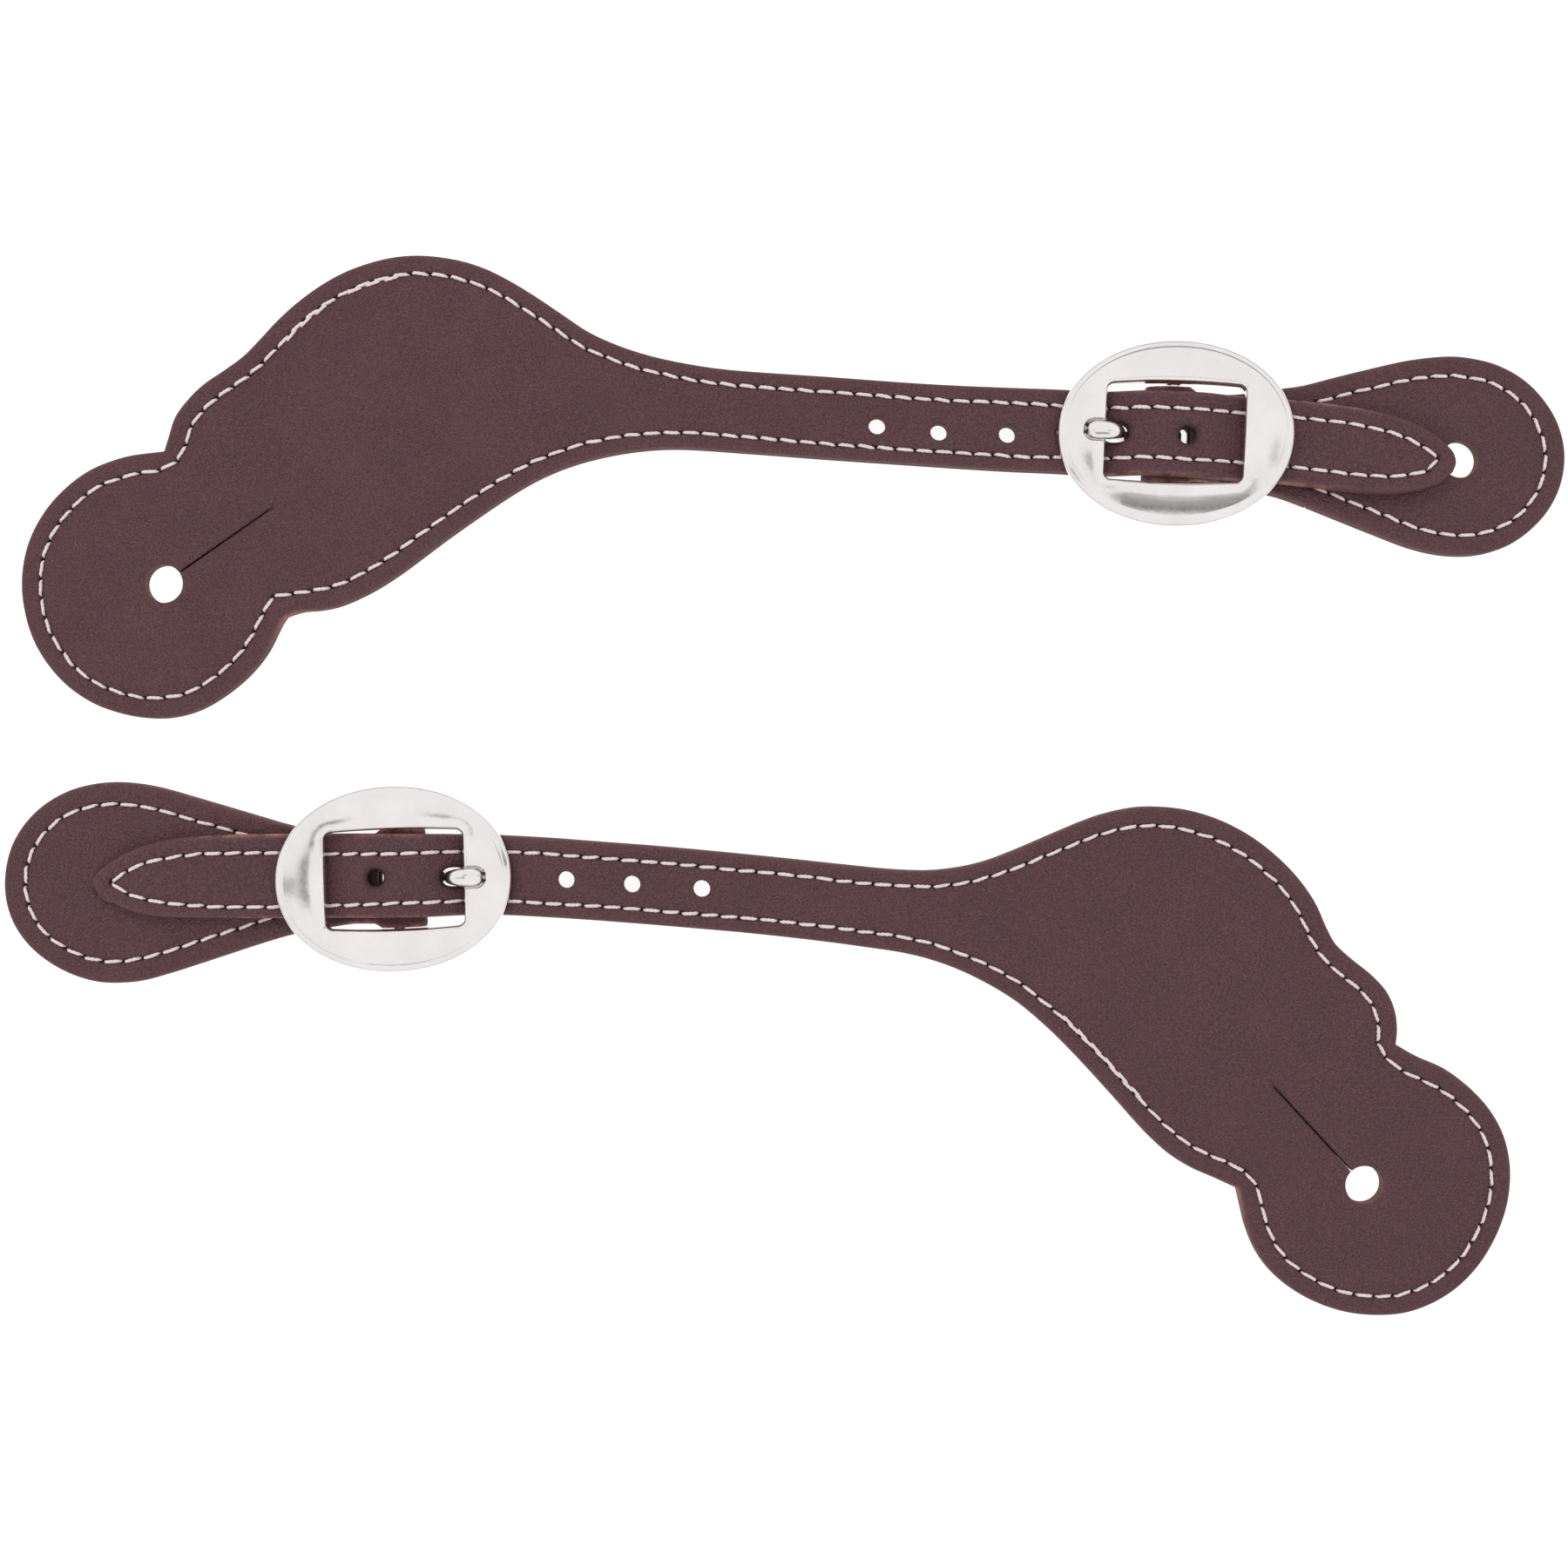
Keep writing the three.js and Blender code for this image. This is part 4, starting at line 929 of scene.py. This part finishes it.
def build_tab(S, xy, uv, sgn):
    side = S["side"]
    # side profile of the leaf, from the teardrop over the bar and back: s, outer, inner
    neck_top = lambda u: 5.6 + (PLY - 5.6) * step01((u - 4) / 12.5)
    neck_low = lambda u: 4.15 + (LINING - 4.15) * step01((u - 4) / 12.5)
    prof = [(120.0, PLY, 120.0, LINING)]
    for u in np.arange(100, 16.5, -1.5):
        prof.append((u, PLY, u, LINING))
    for u in np.linspace(16.5, 0.0, 24):
        prof.append((u, float(neck_top(u)), u, float(neck_low(u))))
    for i in range(1, 25):
        t = math.pi / 2 + math.pi * i / 24
        prof.append((FOLD_A * math.cos(t), BAR_Z + 2.78 * math.sin(t) + 0.02, 4.4 * math.cos(t), 2.775 + 1.375 * math.sin(t)))
    for u in np.linspace(1.0, LEAF_END - 0.15, 22):
        prof.append((u, 0.02, u, 1.4 - 0.1 * min(1, u / 8)))
    prof = np.array(prof)
    mid = (prof[:, :2] + prof[:, 2:]) / 2
    s = -np.r_[0, np.cumsum(np.hypot(*np.diff(mid, axis=0).T))] + 120.0
    order = np.argsort(s)
    so, po = s[order], prof[order]

    def at(sv):
        return np.stack([np.interp(sv, so, po[:, k]) for k in range(4)], 1)

    split = len(prof) - 22 - 24 - 1  # index of u = 0 on the top leaf
    s0 = s[split]
    s_bot = s[split + 24]
    s_end = s[-1]
    top_u = prof[: split + 1, 0][::-1]
    top_s = s[: split + 1][::-1]
    S_top = lambda u: np.interp(u, top_u, top_s)

    hi, lo_ = S["fold"]
    stations = np.vstack([xy([[4.8, 9.75], [10, 9.75], [16, 10.5], [24, S["neckV"][0]]]), np.array(S["tab"], float), xy([[24, S["neckV"][1]], [16, -10.7], [10, -9.9], [4.8, -9.9]])])
    lobe = uv(smooth(stations))
    plan = join(xy([[0, 9.75]]), smooth(stations), xy([[0, -9.9]]))
    lobe_s = np.c_[S_top(lobe[:, 0]), lobe[:, 1]]
    # widths of the short leaf underneath follow the neck; the loop itself is wider
    mid = int(np.argmax(lobe[:, 0]))
    w_u = lambda u: np.where(np.asarray(u) < 4.8, np.interp(u, [0, 3.2, 4.8], [hi, hi, 9.75]), np.interp(u, lobe[:mid, 0], lobe[:mid, 1]))
    w_l = lambda u: np.where(np.asarray(u) < 4.8, np.interp(u, [0, 3.2, 4.8], [lo_, lo_, -9.9]), np.interp(u, lobe[mid:, 0][::-1], lobe[mid:, 1][::-1]))
    ret_u = np.linspace(LEAF_END - 0.15, 0, 38)
    ret_s = s_bot - (ret_u / ret_u[0]) * (s_bot - s_end)
    arc = np.linspace(s_bot, s0, 24)[1:-1]
    lead_u = np.linspace(0, lobe[0, 0], 10)[:-1]
    first = np.r_[ret_s, arc, S_top(lead_u)]
    upper = np.c_[first, np.r_[w_u(ret_u), np.full(len(arc), hi), w_u(lead_u)]]
    lower = np.c_[first, np.r_[w_l(ret_u), np.full(len(arc), lo_), w_l(lead_u)]][::-1]
    end = np.linspace(w_l(31), w_u(31), 34)[1:-1]
    endl = np.c_[np.full(len(end), s_end), end]
    D = join(upper, lobe_s, lower, endl)

    show = np.array(S["holeShift"])
    key = keyhole(uv([S["tabHole"]])[0] + show, 4.15, uv([S["tabSlit"]])[0])
    a0, a1 = S_top(4.0), s_bot - 4.0 * (s_bot - s_end) / ret_u[0]
    q = np.linspace(0, 2 * np.pi, 64, endpoint=False)
    cc, ss = np.cos(q), np.sin(q)
    slot = np.c_[(a0 + a1) / 2 + (a0 - a1) / 2 * np.sign(cc) * np.abs(cc) ** 0.35, 2.8 * np.sign(ss) * np.abs(ss) ** 0.35]
    slot = resample(slot, 0.8, closed=True)

    path = inset(plan, S["stitchTab"])
    path = path[uv(path)[:, 0] > 18.5]
    # start the open line at the neck's upper side
    g = np.hypot(*(np.roll(path, -1, 0) - path).T)
    path = np.roll(path, -(int(np.argmax(g)) + 1), 0)
    path = resample(path, 0.4)
    needles = resample(path, PITCH)
    needles = needles + rng.normal(0, 0.05, needles.shape)
    pu, nu = uv(path), uv(needles)
    rows = [resample(pu + normals_in(pu) * d, 0.8) for d in (0, -0.35, 0.35, -0.7, 0.7)]

    V, T, _ = triangulate(D, [slot, key], [], rows, nu, 1.7)
    d_edge, d_line, d_pit = nearest(V, D), nearest(V, pu, closed=False), slots(V, nu, False)
    on_top = V[:, 0] > s0
    d_line = np.where(on_top, d_line, 9)
    d_pit = np.where(on_top, d_pit, 9)
    d_key, d_slot = nearest(V, key), nearest(V, slot)
    world = xy(V)
    slow = (0.05 * wave(world, 38, 3) + 0.025 * wave(world, 9, 4)) * np.clip(d_edge / 3, 0, 1)
    slow *= step01((V[:, 0] - 64) / 4)  # nothing may lift where the tongue lies
    # needle pits: sunk into the surface and coloured with painted shade in the materials
    pit_and_shade = np.exp(-(d_pit**4))
    drop = edge_drop(d_edge, 0.85) * np.where(V[:, 0] > s0 + 5, 1.0, 0.45)
    drop = drop + 0.20 * np.exp(-((d_line / 0.62) ** 2)) + 0.75 * pit_and_shade - np.minimum(slow, 0.12)
    drop += 0.22 * np.clip(1 - d_key / 0.5, 0, 1) ** 2 + 0.1 * np.clip(1 - d_slot / 0.4, 0, 1)
    p = at(V[:, 0])
    nrm = p[:, :2] - p[:, 2:]
    th = np.linalg.norm(nrm, axis=1)[:, None]
    nrm = nrm / th
    drop = np.minimum(drop, th[:, 0] - 0.35)
    o2 = p[:, :2] - nrm * drop[:, None]
    i2 = p[:, 2:] + nrm * 0.01 + nrm * (0.1 * np.clip(1 - d_edge / 0.25, 0, 1))[:, None]

    def lift(uz, v):
        q = xy(np.c_[uz[:, 0], v])
        return np.c_[q, uz[:, 1]]

    topP, lowP = lift(o2, V[:, 1]), lift(i2, V[:, 1])

    def out3(P, E, ring):
        n = plan_out(P, E, ring)[:, :2]
        q = P[ring]
        m0, m1 = at(q[:, 0]), at(q[:, 0] + n[:, 0] * 0.02)
        a = lift((m0[:, :2] + m0[:, 2:]) / 2, q[:, 1])
        b = lift((m1[:, :2] + m1[:, 2:]) / 2, q[:, 1] + n[:, 1] * 0.02)
        w = b - a
        return w / (np.linalg.norm(w, axis=1)[:, None] + 1e-9)

    fold = 1 - step01((V[:, 0] - (s0 + 9)) / 6)
    raw = fold * np.exp(-((d_edge / 0.7) ** 2)) * np.clip(0.7 + 0.5 * wave(world, 2.2, 21), 0, 1)
    edge = np.exp(-((d_edge / 0.75) ** 2)) + 0.5 * np.exp(-((d_key / 0.4) ** 2))
    hole = (np.minimum(d_key, d_slot) < 0.01).astype(float)
    attr = {"edge": np.clip(edge, 0, 1), "pit_and_shade": np.clip(pit_and_shade, 0, 1), "raw": np.clip(raw, 0, 1), "hole": hole}
    o = shell(f"{side}_tab_grain_ply", V, T, topP, lowP, out3, attr, {}, LEATHER, rows=4)
    orient(o)
    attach(o, f"{side}_tab")
    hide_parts(f"{side}_tab_face")

    # ---- lining ply beyond the short leaf's end
    lo = lobe[lobe[:, 0] > LEAF_END + 0.2]
    u0 = LEAF_END + 0.15
    far = int(np.argmax(lobe[:, 0]))
    first = np.array([u0, np.interp(u0, lobe[:far, 0], lobe[:far, 1])])
    last = np.array([u0, np.interp(u0, lobe[far:, 0][::-1], lobe[far:, 1][::-1])])
    close = np.linspace(last, first, 30)[:-1]
    D2 = join(np.vstack([first[None], lo]), close)
    key2 = keyhole(uv([S["tabHole"]])[0] + show, 4.2, uv([S["tabSlit"]])[0])
    V, T, _ = triangulate(D2, [key2], [], rows, nu, 2.0)
    d_edge, d_line, d_pit = nearest(V, D2), nearest(V, pu, closed=False), slots(V, nu, False)
    d_key = nearest(V, key2)
    pit_and_shade = np.exp(-(d_pit**4))
    low = 0.03 + edge_drop(d_edge, 0.5) + 0.34 * np.exp(-((d_line / 0.55) ** 2)) + 0.45 * pit_and_shade
    W = xy(V)
    attr = {"edge": np.clip(np.exp(-((d_edge / 0.6) ** 2)), 0, 1), "pit_and_shade": np.clip(pit_and_shade, 0, 1), "raw": np.zeros(len(V)), "hole": (d_key < 0.01).astype(float)}

    def out_lin(P, E, ring):
        n = plan_out(P, E, ring)
        q = xy(P[ring] + n[:, :2]) - xy(P[ring])
        return np.c_[q, np.zeros(len(q))]

    o = shell(f"{side}_tab_flesh_ply", V, T, np.c_[W, np.full(len(V), LINING - 0.01) - 0.1 * np.clip(1 - d_edge / 0.25, 0, 1)], np.c_[W, np.minimum(low, 0.9)], out_lin, attr, {}, LEATHER_IN, rows=3)
    orient(o)
    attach(o, f"{side}_tab")
    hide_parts(f"{side}_tab_lining")

    # ---- the tab's stitches
    up, dn = [], []
    for i in range(len(needles) - 1):
        p, q = needles[i], needles[i + 1]
        j = rng.normal(0, 1, 2)
        hidden = uv([(p + q) / 2])[0, 0] < 62 and abs(uv([(p + q) / 2])[0, 1]) < 11.5
        up.append((p, q, lambda c, h=hidden: PLY - (0.24 if h else 0.03), 1.0, 0.37, 0.25, i + j[0], (0.13 + 0.05 * j[1]) * sgn))
        if uv([(p + q) / 2])[0, 0] > LEAF_END + 3:
            dn.append((p, q, lambda c: 0.30, -0.8, 0.38, 0.15, i + j[0], 0.12))
    V1, F1 = stitch_mesh(up, 8, 12)
    V2, F2 = stitch_mesh(dn, 6, 8)
    VV = np.vstack([V1, V2])
    o = orient(mesh_object(f"{side}_tab_stitching", metres(VV), F1 + [tuple(x + len(V1) for x in f) for f in F2], [THREAD_M], None, {"rp": VV}, sharp=70))
    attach(o, f"{side}_tab")
    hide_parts(f"{side}_tab_thread")


# ------------------------------------------------------------------ steel parts
def grid_solid(rows, name, closed_u=True, cap=True):
    """A tube from rings of points: rows is a list of equal rings."""
    R = np.array(rows)
    m, n = R.shape[:2]
    V = R.reshape(-1, 3)
    F = []
    for i in range(m if not cap else m - 1):
        for k in range(n):
            a, b = i * n + k, i * n + (k + 1) % n
            c, d = ((i + 1) % m) * n + (k + 1) % n, ((i + 1) % m) * n + k
            F.append((a, b, c, d))
    if cap:
        F.append(tuple(range(n))[::-1])
        F.append(tuple((m - 1) * n + k for k in range(n)))
    return orient(mesh_object(name, V, F, [STEEL_M], sharp=0))


def merge(name, parts, sharp=38):
    """Boolean union of closed pieces into one, which keeps the first one's material."""
    base = parts[0]
    for p in parts[1:]:
        mod = base.modifiers.new("join", "BOOLEAN")
        mod.operation, mod.solver, mod.object = "UNION", "EXACT", p
    bpy.context.view_layer.update()
    dg = bpy.context.evaluated_depsgraph_get()
    me = bpy.data.meshes.new_from_object(base.evaluated_get(dg))
    for p in parts:
        bpy.data.objects.remove(p)
    me.materials.clear()
    me.materials.append(STEEL_M)
    me.polygons.foreach_set("material_index", np.zeros(len(me.polygons), np.int32))
    co = np.zeros(len(me.vertices) * 3, np.float32)
    me.vertices.foreach_get("co", co)
    at = me.attributes.new("rp", "FLOAT_VECTOR", "POINT")
    at.data.foreach_set("vector", co)
    co = co.reshape(-1, 3) + np.array([SHIFT[0], SHIFT[1], 0], np.float32)
    me.vertices.foreach_set("co", (co * 0.001).ravel())
    me.polygons.foreach_set("use_smooth", [True] * len(me.polygons))
    me.update()
    me.set_sharp_from_angle(angle=math.radians(sharp))
    o = bpy.data.objects.new(name, me)
    bpy.context.scene.collection.objects.link(o)
    return orient(o)


def window_radius(theta):
    """Distance from the centre to the window's edge, in a direction."""
    r, hu, hv, bow = 1.35, 14.9, 10.5, 0.5
    pts = []
    for cx, cy, t0 in ((hu - r, hv - r, 0), (-hu + r, hv - r, 90), (-hu + r, -hv + r, 180), (hu - r, -hv + r, 270)):
        for t in np.linspace(t0, t0 + 90, 16):
            pts.append((cx + r * math.cos(math.radians(t)), cy + r * math.sin(math.radians(t))))
    c = resample(np.array(pts), 0.15, closed=True)
    c[:, 1] += np.sign(c[:, 1]) * bow * np.maximum(0, 1 - (c[:, 0] / hu) ** 2) * (np.abs(c[:, 1]) > hv - 2)
    c[:, 0] -= 0.3
    a = np.arctan2(c[:, 1], c[:, 0])
    o = np.argsort(a)
    a, rr = a[o], np.hypot(c[o, 0], c[o, 1])
    return np.interp(theta, np.r_[a - 2 * np.pi, a, a + 2 * np.pi], np.r_[rr, rr, rr])


def build_buckle(S, xy, uv):
    side = S["side"]

    def place(P):
        P = np.asarray(P, float)
        return np.c_[xy(P[:, :2]), P[:, 2]]

    # ---- frame: a domed oval ring round the window
    th = list(np.linspace(-np.pi, np.pi, 200, endpoint=False))
    for c in (34, 146, -34, -146):
        th += list(np.radians(np.arange(c - 5, c + 5, 0.5)))
    th += list(np.radians(np.arange(-12.5, 12.6, 0.35)) + np.pi)
    th = np.array([(t + np.pi) % (2 * np.pi) - np.pi for t in th])
    th = np.sort(th)
    th = th[np.r_[True, np.diff(th) > math.radians(0.2)]]
    n_o = 2.06
    ro = (np.abs(np.cos(th) / 25.75) ** n_o + np.abs(np.sin(th) / 20.55) ** n_o) ** (-1 / n_o)
    ri = window_radius(th)
    W = ro - ri

    r_w, w_u, w_v = 1.35, 14.9, 10.75

    def dome(x):
        """Height of the domed face at a distance in from the oval edge."""
        f = 1 - x / ro  # share of the oval's radius
        z = 3.62 - 1.27 * (np.maximum(f - 0.60, 0) / (0.93 - 0.60)) ** 1.75
        u, v = (ro - x) * np.cos(th), (ro - x) * np.sin(th)
        du, dv = np.maximum(np.abs(u + 0.3) - (w_u - r_w), 0), np.maximum(np.abs(v) - (w_v - r_w), 0)
        near = np.maximum(np.hypot(du, dv) - r_w, 0)
        return z - 0.34 * np.clip(1 - near / 3.4, 0, 1) ** 2

    rows = []
    for x, z in ((0.5, 0.0), (0.2, 0.06), (0.05, 0.22), (0.0, 0.5), (0.0, 0.95), (0.06, 1.2), (0.2, 1.42), (0.42, 1.6), (0.75, 1.78), (1.1, 1.95), (1.42, 2.1), (1.6, 2.22), (1.8, 2.38)):
        rows.append((np.full(len(th), x), np.full(len(th), z)))
    for f in np.linspace(0, 1, 30)[1:]:
        x = 1.8 + (W - 1.0 - 1.8) * f
        rows.append((x, dome(x)))
    for x, dz in ((0.86, 0.04), (0.74, 0.13), (0.6, 0.2), (0.42, 0.28), (0.28, 0.42), (0.15, 0.62), (0.05, 0.88), (0.0, 1.2)):
        rows.append((W - x, dome(W - x) - dz))
    for x, z in ((0.0, 1.5), (0.0, 1.0), (0.0, 0.6), (0.06, 0.3), (0.22, 0.08), (0.5, 0.0)):
        rows.append((W - x, np.full(len(th), z)))
    rows.append((W * 0.68, np.zeros(len(th))))
    rows.append((W * 0.36, np.zeros(len(th))))
    G = []
    for x, z in rows:
        r = ro - x
        u, v = r * np.cos(th), r * np.sin(th)
        # rounded seat for the prong's tip in the rim away from the tab
        dx = np.where(u > -17.7, 0.0, u + 17.7)
        rho = np.where(u < -10, np.hypot(dx, v), 99)
        R, zc = 2.5, 3.5
        cut = zc - np.sqrt(np.maximum(R * R - rho**2, 0))
        z = np.where((rho < R) & (z > 0.35), np.minimum(z, np.maximum(cut, 0.9)), z)
        # the casting isn't perfectly even
        z = z + 0.035 * np.sin(3 * th + 1.0) * np.clip(z / 3.6, 0, 1)
        G.append(np.c_[u * math.cos(RING_TILT) - z * math.sin(RING_TILT), v, u * math.sin(RING_TILT) + z * math.cos(RING_TILT) + RING_LIFT])
    G = np.array(G)
    ring = grid_solid([place(g) for g in G], "ring", cap=False)

    parts = [ring]
    for s in (-1, 1):
        sec = []
        for z, k in ((1.4, 0.72), (1.55, 0.88), (1.9, 0.98), (2.4, 1.0), (4.5, 1.0), (6.5, 1.02), (7.6, 1.12), (8.0, 1.15)):
            q = np.linspace(0, 2 * np.pi, 28, endpoint=False)
            c, n = np.cos(q), np.sin(q)
            u = 2.1 * k * np.sign(c) * np.abs(c) ** 0.55
            v = s * 12.9 + 1.45 * min(k, 1.0) * np.sign(n) * np.abs(n) ** 0.55
            sec.append(place(np.c_[u, v, np.full(28, z)]))
        parts.append(grid_solid(sec, "post"))
    sec = []
    for v in np.linspace(-12.4, 12.4, 33):
        r = 1.2 + 0.2 * math.exp(-(((abs(v) - 11.6) / 0.5) ** 2))
        q = np.linspace(0, 2 * np.pi, 24, endpoint=False)
        sec.append(place(np.c_[r * np.cos(q), np.full(24, v), BAR_Z + r * np.sin(q)]))
    parts.append(grid_solid(sec, "bar"))
    o = merge(f"{side}_buckle_frame_body", parts)
    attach(o, f"{side}_billet")
    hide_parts(f"{side}_buckle_frame")

    # ---- prong: an eye round the bar and a cranked shank with a blunt rounded tip
    st = np.array([(-1.75, 2.35), (-5, 1.8), (-8, 1.6), (-10.2, 1.8), (-11.45, 2.8), (-11.7, 4.5), (-12.05, 6.1), (-13.2, 7.25), (-15.2, 7.85), (-17.2, 8.05), (-19.6, 7.9)])
    c = smooth(st, 0.33)
    d = np.gradient(c, axis=0)
    d /= np.linalg.norm(d, axis=1)[:, None]
    L = np.r_[0, np.cumsum(np.hypot(*np.diff(c, axis=0).T))]
    left = L[-1] - L
    sec = []
    for i in range(len(c)):
        e = math.sqrt(max(0.0, 1 - (1 - min(1, left[i] / 2.2)) ** 2))
        w = np.interp(c[i, 0], [-19.8, -16.8, -14.5, -12.9, -11.7, -9.0, 0], [1.95, 2.08, 1.98, 1.68, 1.3, 1.45, 1.5]) * max(e, 0.12)
        h = np.interp(c[i, 0], [-20.6, -16, -9, 0], [0.92, 1.05, 1.0, 0.95]) * max(e**0.7, 0.15)
        q = np.linspace(0, 2 * np.pi, 24, endpoint=False)
        cs, sn = np.cos(q), np.sin(q)
        y, z = w * cs, h * sn
        nx, nz = -d[i, 1], d[i, 0]
        if nz < 0:
            nx, nz = -nx, -nz
        sec.append(place(np.c_[c[i, 0] + nx * z, y, c[i, 1] + nz * z]))
    shank = grid_solid(sec, "shank")
    prof = []
    for t in np.linspace(0, 2 * np.pi, 28, endpoint=False):
        prof.append((1.77 + 0.44 * np.sign(math.cos(t)) * abs(math.cos(t)) ** 0.8, 1.25 * np.sign(math.sin(t)) * abs(math.sin(t)) ** 0.9))
    eye = []
    for q in np.linspace(0, 2 * np.pi, 48, endpoint=False):
        eye.append(place(np.array([(r * math.cos(q), v, BAR_Z + r * math.sin(q)) for r, v in prof])))
    eye = grid_solid(eye, "eye", cap=False)
    o = merge(f"{side}_buckle_prong_body", [eye, shank])
    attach(o, f"{side}_prong")
    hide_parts(f"{side}_buckle_prong")


# where the sewn line turns at the notches, from the notch's corner; and where the tab's
# buttonhole shows beside the tongue
STRAPS[0]["corner"] = [(3.07, -2.35), (-2.76, 4.4)]
STRAPS[1]["corner"] = [(-2.42, -2.81), (4.26, 0.48)]
STRAPS[0]["holeShift"] = (0.6, 0.0)
STRAPS[1]["holeShift"] = (-0.9, -0.7)
STRAPS[0]["overlap"] = [(-105.8, 105.8), (-91.3, 112.2)]
STRAPS[1]["overlap"] = [(65.0, -55.9), (74.2, -64.9)]
for S in STRAPS:
    build(S)


# ------------------------------------------------------------------ floor, light, camera
def stage_plane(name, size, loc, rot=(0, 0, 0), mat=None):
    bm = bmesh.new()
    bmesh.ops.create_grid(bm, x_segments=2, y_segments=2, size=size)
    me = bpy.data.meshes.new(name)
    bm.to_mesh(me)
    bm.free()
    o = bpy.data.objects.new(name, me)
    o.location, o.rotation_euler = loc, rot
    if mat:
        me.materials.append(mat)
    bpy.context.scene.collection.objects.link(o)
    return o


m, nt, b = material("floor_white")
kk = Kit(nt)
geo = nt.nodes.new("ShaderNodeTexCoord")
kk.put(b.inputs["Base Color"], kk.mix(kk.noise(geo.outputs["Object"], 3.0, 3), (0.34, 0.34, 0.34), (0.36, 0.36, 0.36)))
b.inputs["Roughness"].default_value = 0.9
b.inputs["Specular IOR Level"].default_value = 0.1
b.inputs["Emission Color"].default_value = (1, 1, 1, 1)
b.inputs["Emission Strength"].default_value = 0.86
stage_plane("floor", 30.0, (0, 0, -0.0003), mat=m)

# grey cards overhead that only the steel sees
for i, (x, y, sx, sy, tone) in enumerate((
    (0.098, 0.010, 0.064, 0.0085, 0.25),
    (0.096, 0.0265, 0.066, 0.0080, 0.38),
    (0.100, 0.0420, 0.060, 0.0075, 0.58),
    (0.258, 0.092, 0.008, 0.030, 0.40),
    (-0.212, -0.035, 0.022, 0.050, 0.36),
    (-0.285, -0.050, 0.040, 0.022, 0.52),
    (-0.185, 0.045, 0.030, 0.018, 0.36),
    (-0.027, 0.078, 0.024, 0.020, 0.46),
)):
    m, nt, b = material(f"card_grey_{i}")
    b.inputs["Base Color"].default_value = (0, 0, 0, 1)
    b.inputs["Roughness"].default_value = 1.0
    b.inputs["Specular IOR Level"].default_value = 0.0
    b.inputs["Emission Color"].default_value = (1.0, 0.985, 0.96, 1)
    b.inputs["Emission Strength"].default_value = tone
    card = stage_plane(f"card_{i}", 1.0, (x, y, 0.15 if i < 3 else 0.3), mat=m)
    card.scale = (sx, sy, 1)
    card.visible_camera = card.visible_diffuse = card.visible_shadow = False
    card.visible_transmission = card.visible_volume_scatter = False

# a low grey wall all round, which gives the steel's steep edges something to mirror
m, nt, b = material("wall_grey")
b.inputs["Base Color"].default_value = (0, 0, 0, 1)
b.inputs["Roughness"].default_value = 1.0
b.inputs["Specular IOR Level"].default_value = 0.0
b.inputs["Emission Color"].default_value = (1.0, 0.97, 0.97, 1)
b.inputs["Emission Strength"].default_value = 0.42
for i in range(8):
    q = i * math.pi / 4
    wall = stage_plane(f"wall_{i}", 1.0, (1.5 * math.cos(q), 1.5 * math.sin(q), 0.17), (math.pi / 2, 0, q + math.pi / 2), mat=m)
    wall.scale = (0.64, 0.17, 1)
    wall.visible_camera = wall.visible_diffuse = wall.visible_shadow = False
    wall.visible_transmission = wall.visible_volume_scatter = False

world = bpy.data.worlds.new("pale")
world.use_nodes = True
bg = next(n for n in world.node_tree.nodes if n.type == "BACKGROUND")
bg.inputs[0].default_value = (1.0, 0.985, 0.988, 1)
bg.inputs[1].default_value = 1.0
bpy.context.scene.world = world


def softbox(name, loc, size, power, target=(0, 0, 0)):
    li = bpy.data.lights.new(name, "AREA")
    li.shape, li.size, li.size_y = "RECTANGLE", size[0], size[1]
    li.energy = power
    li.color = (1.0, 0.985, 0.975)
    o = bpy.data.objects.new(name, li)
    o.location = loc
    o.rotation_euler = (Vector(target) - Vector(loc)).to_track_quat("-Z", "Y").to_euler()
    o.visible_camera = o.visible_glossy = False
    bpy.context.scene.collection.objects.link(o)
    return o


softbox("key", (-0.55, 0.75, 0.9), (0.7, 0.5), 5.2)
softbox("fill", (0.85, 0.15, 0.95), (0.8, 1.0), 1.8)
softbox("back", (0.15, -0.95, 0.85), (1.2, 0.6), 1.2)
softbox("side", (-0.95, -0.35, 0.8), (0.7, 0.8), 1.6)

cam = bpy.data.cameras.new("camera")
cam.sensor_width = 36
cam.lens = 41.2
cam.clip_start, cam.clip_end = 0.01, 20
co = bpy.data.objects.new("camera", cam)
co.location = (SHIFT[0] * 0.001, SHIFT[1] * 0.001, 0.4036)
bpy.context.scene.collection.objects.link(co)
bpy.context.scene.camera = co
bpy.context.scene.view_settings.view_transform = "Standard"
bpy.context.scene.view_settings.look = "None"
bpy.context.scene.view_settings.exposure = 0.0
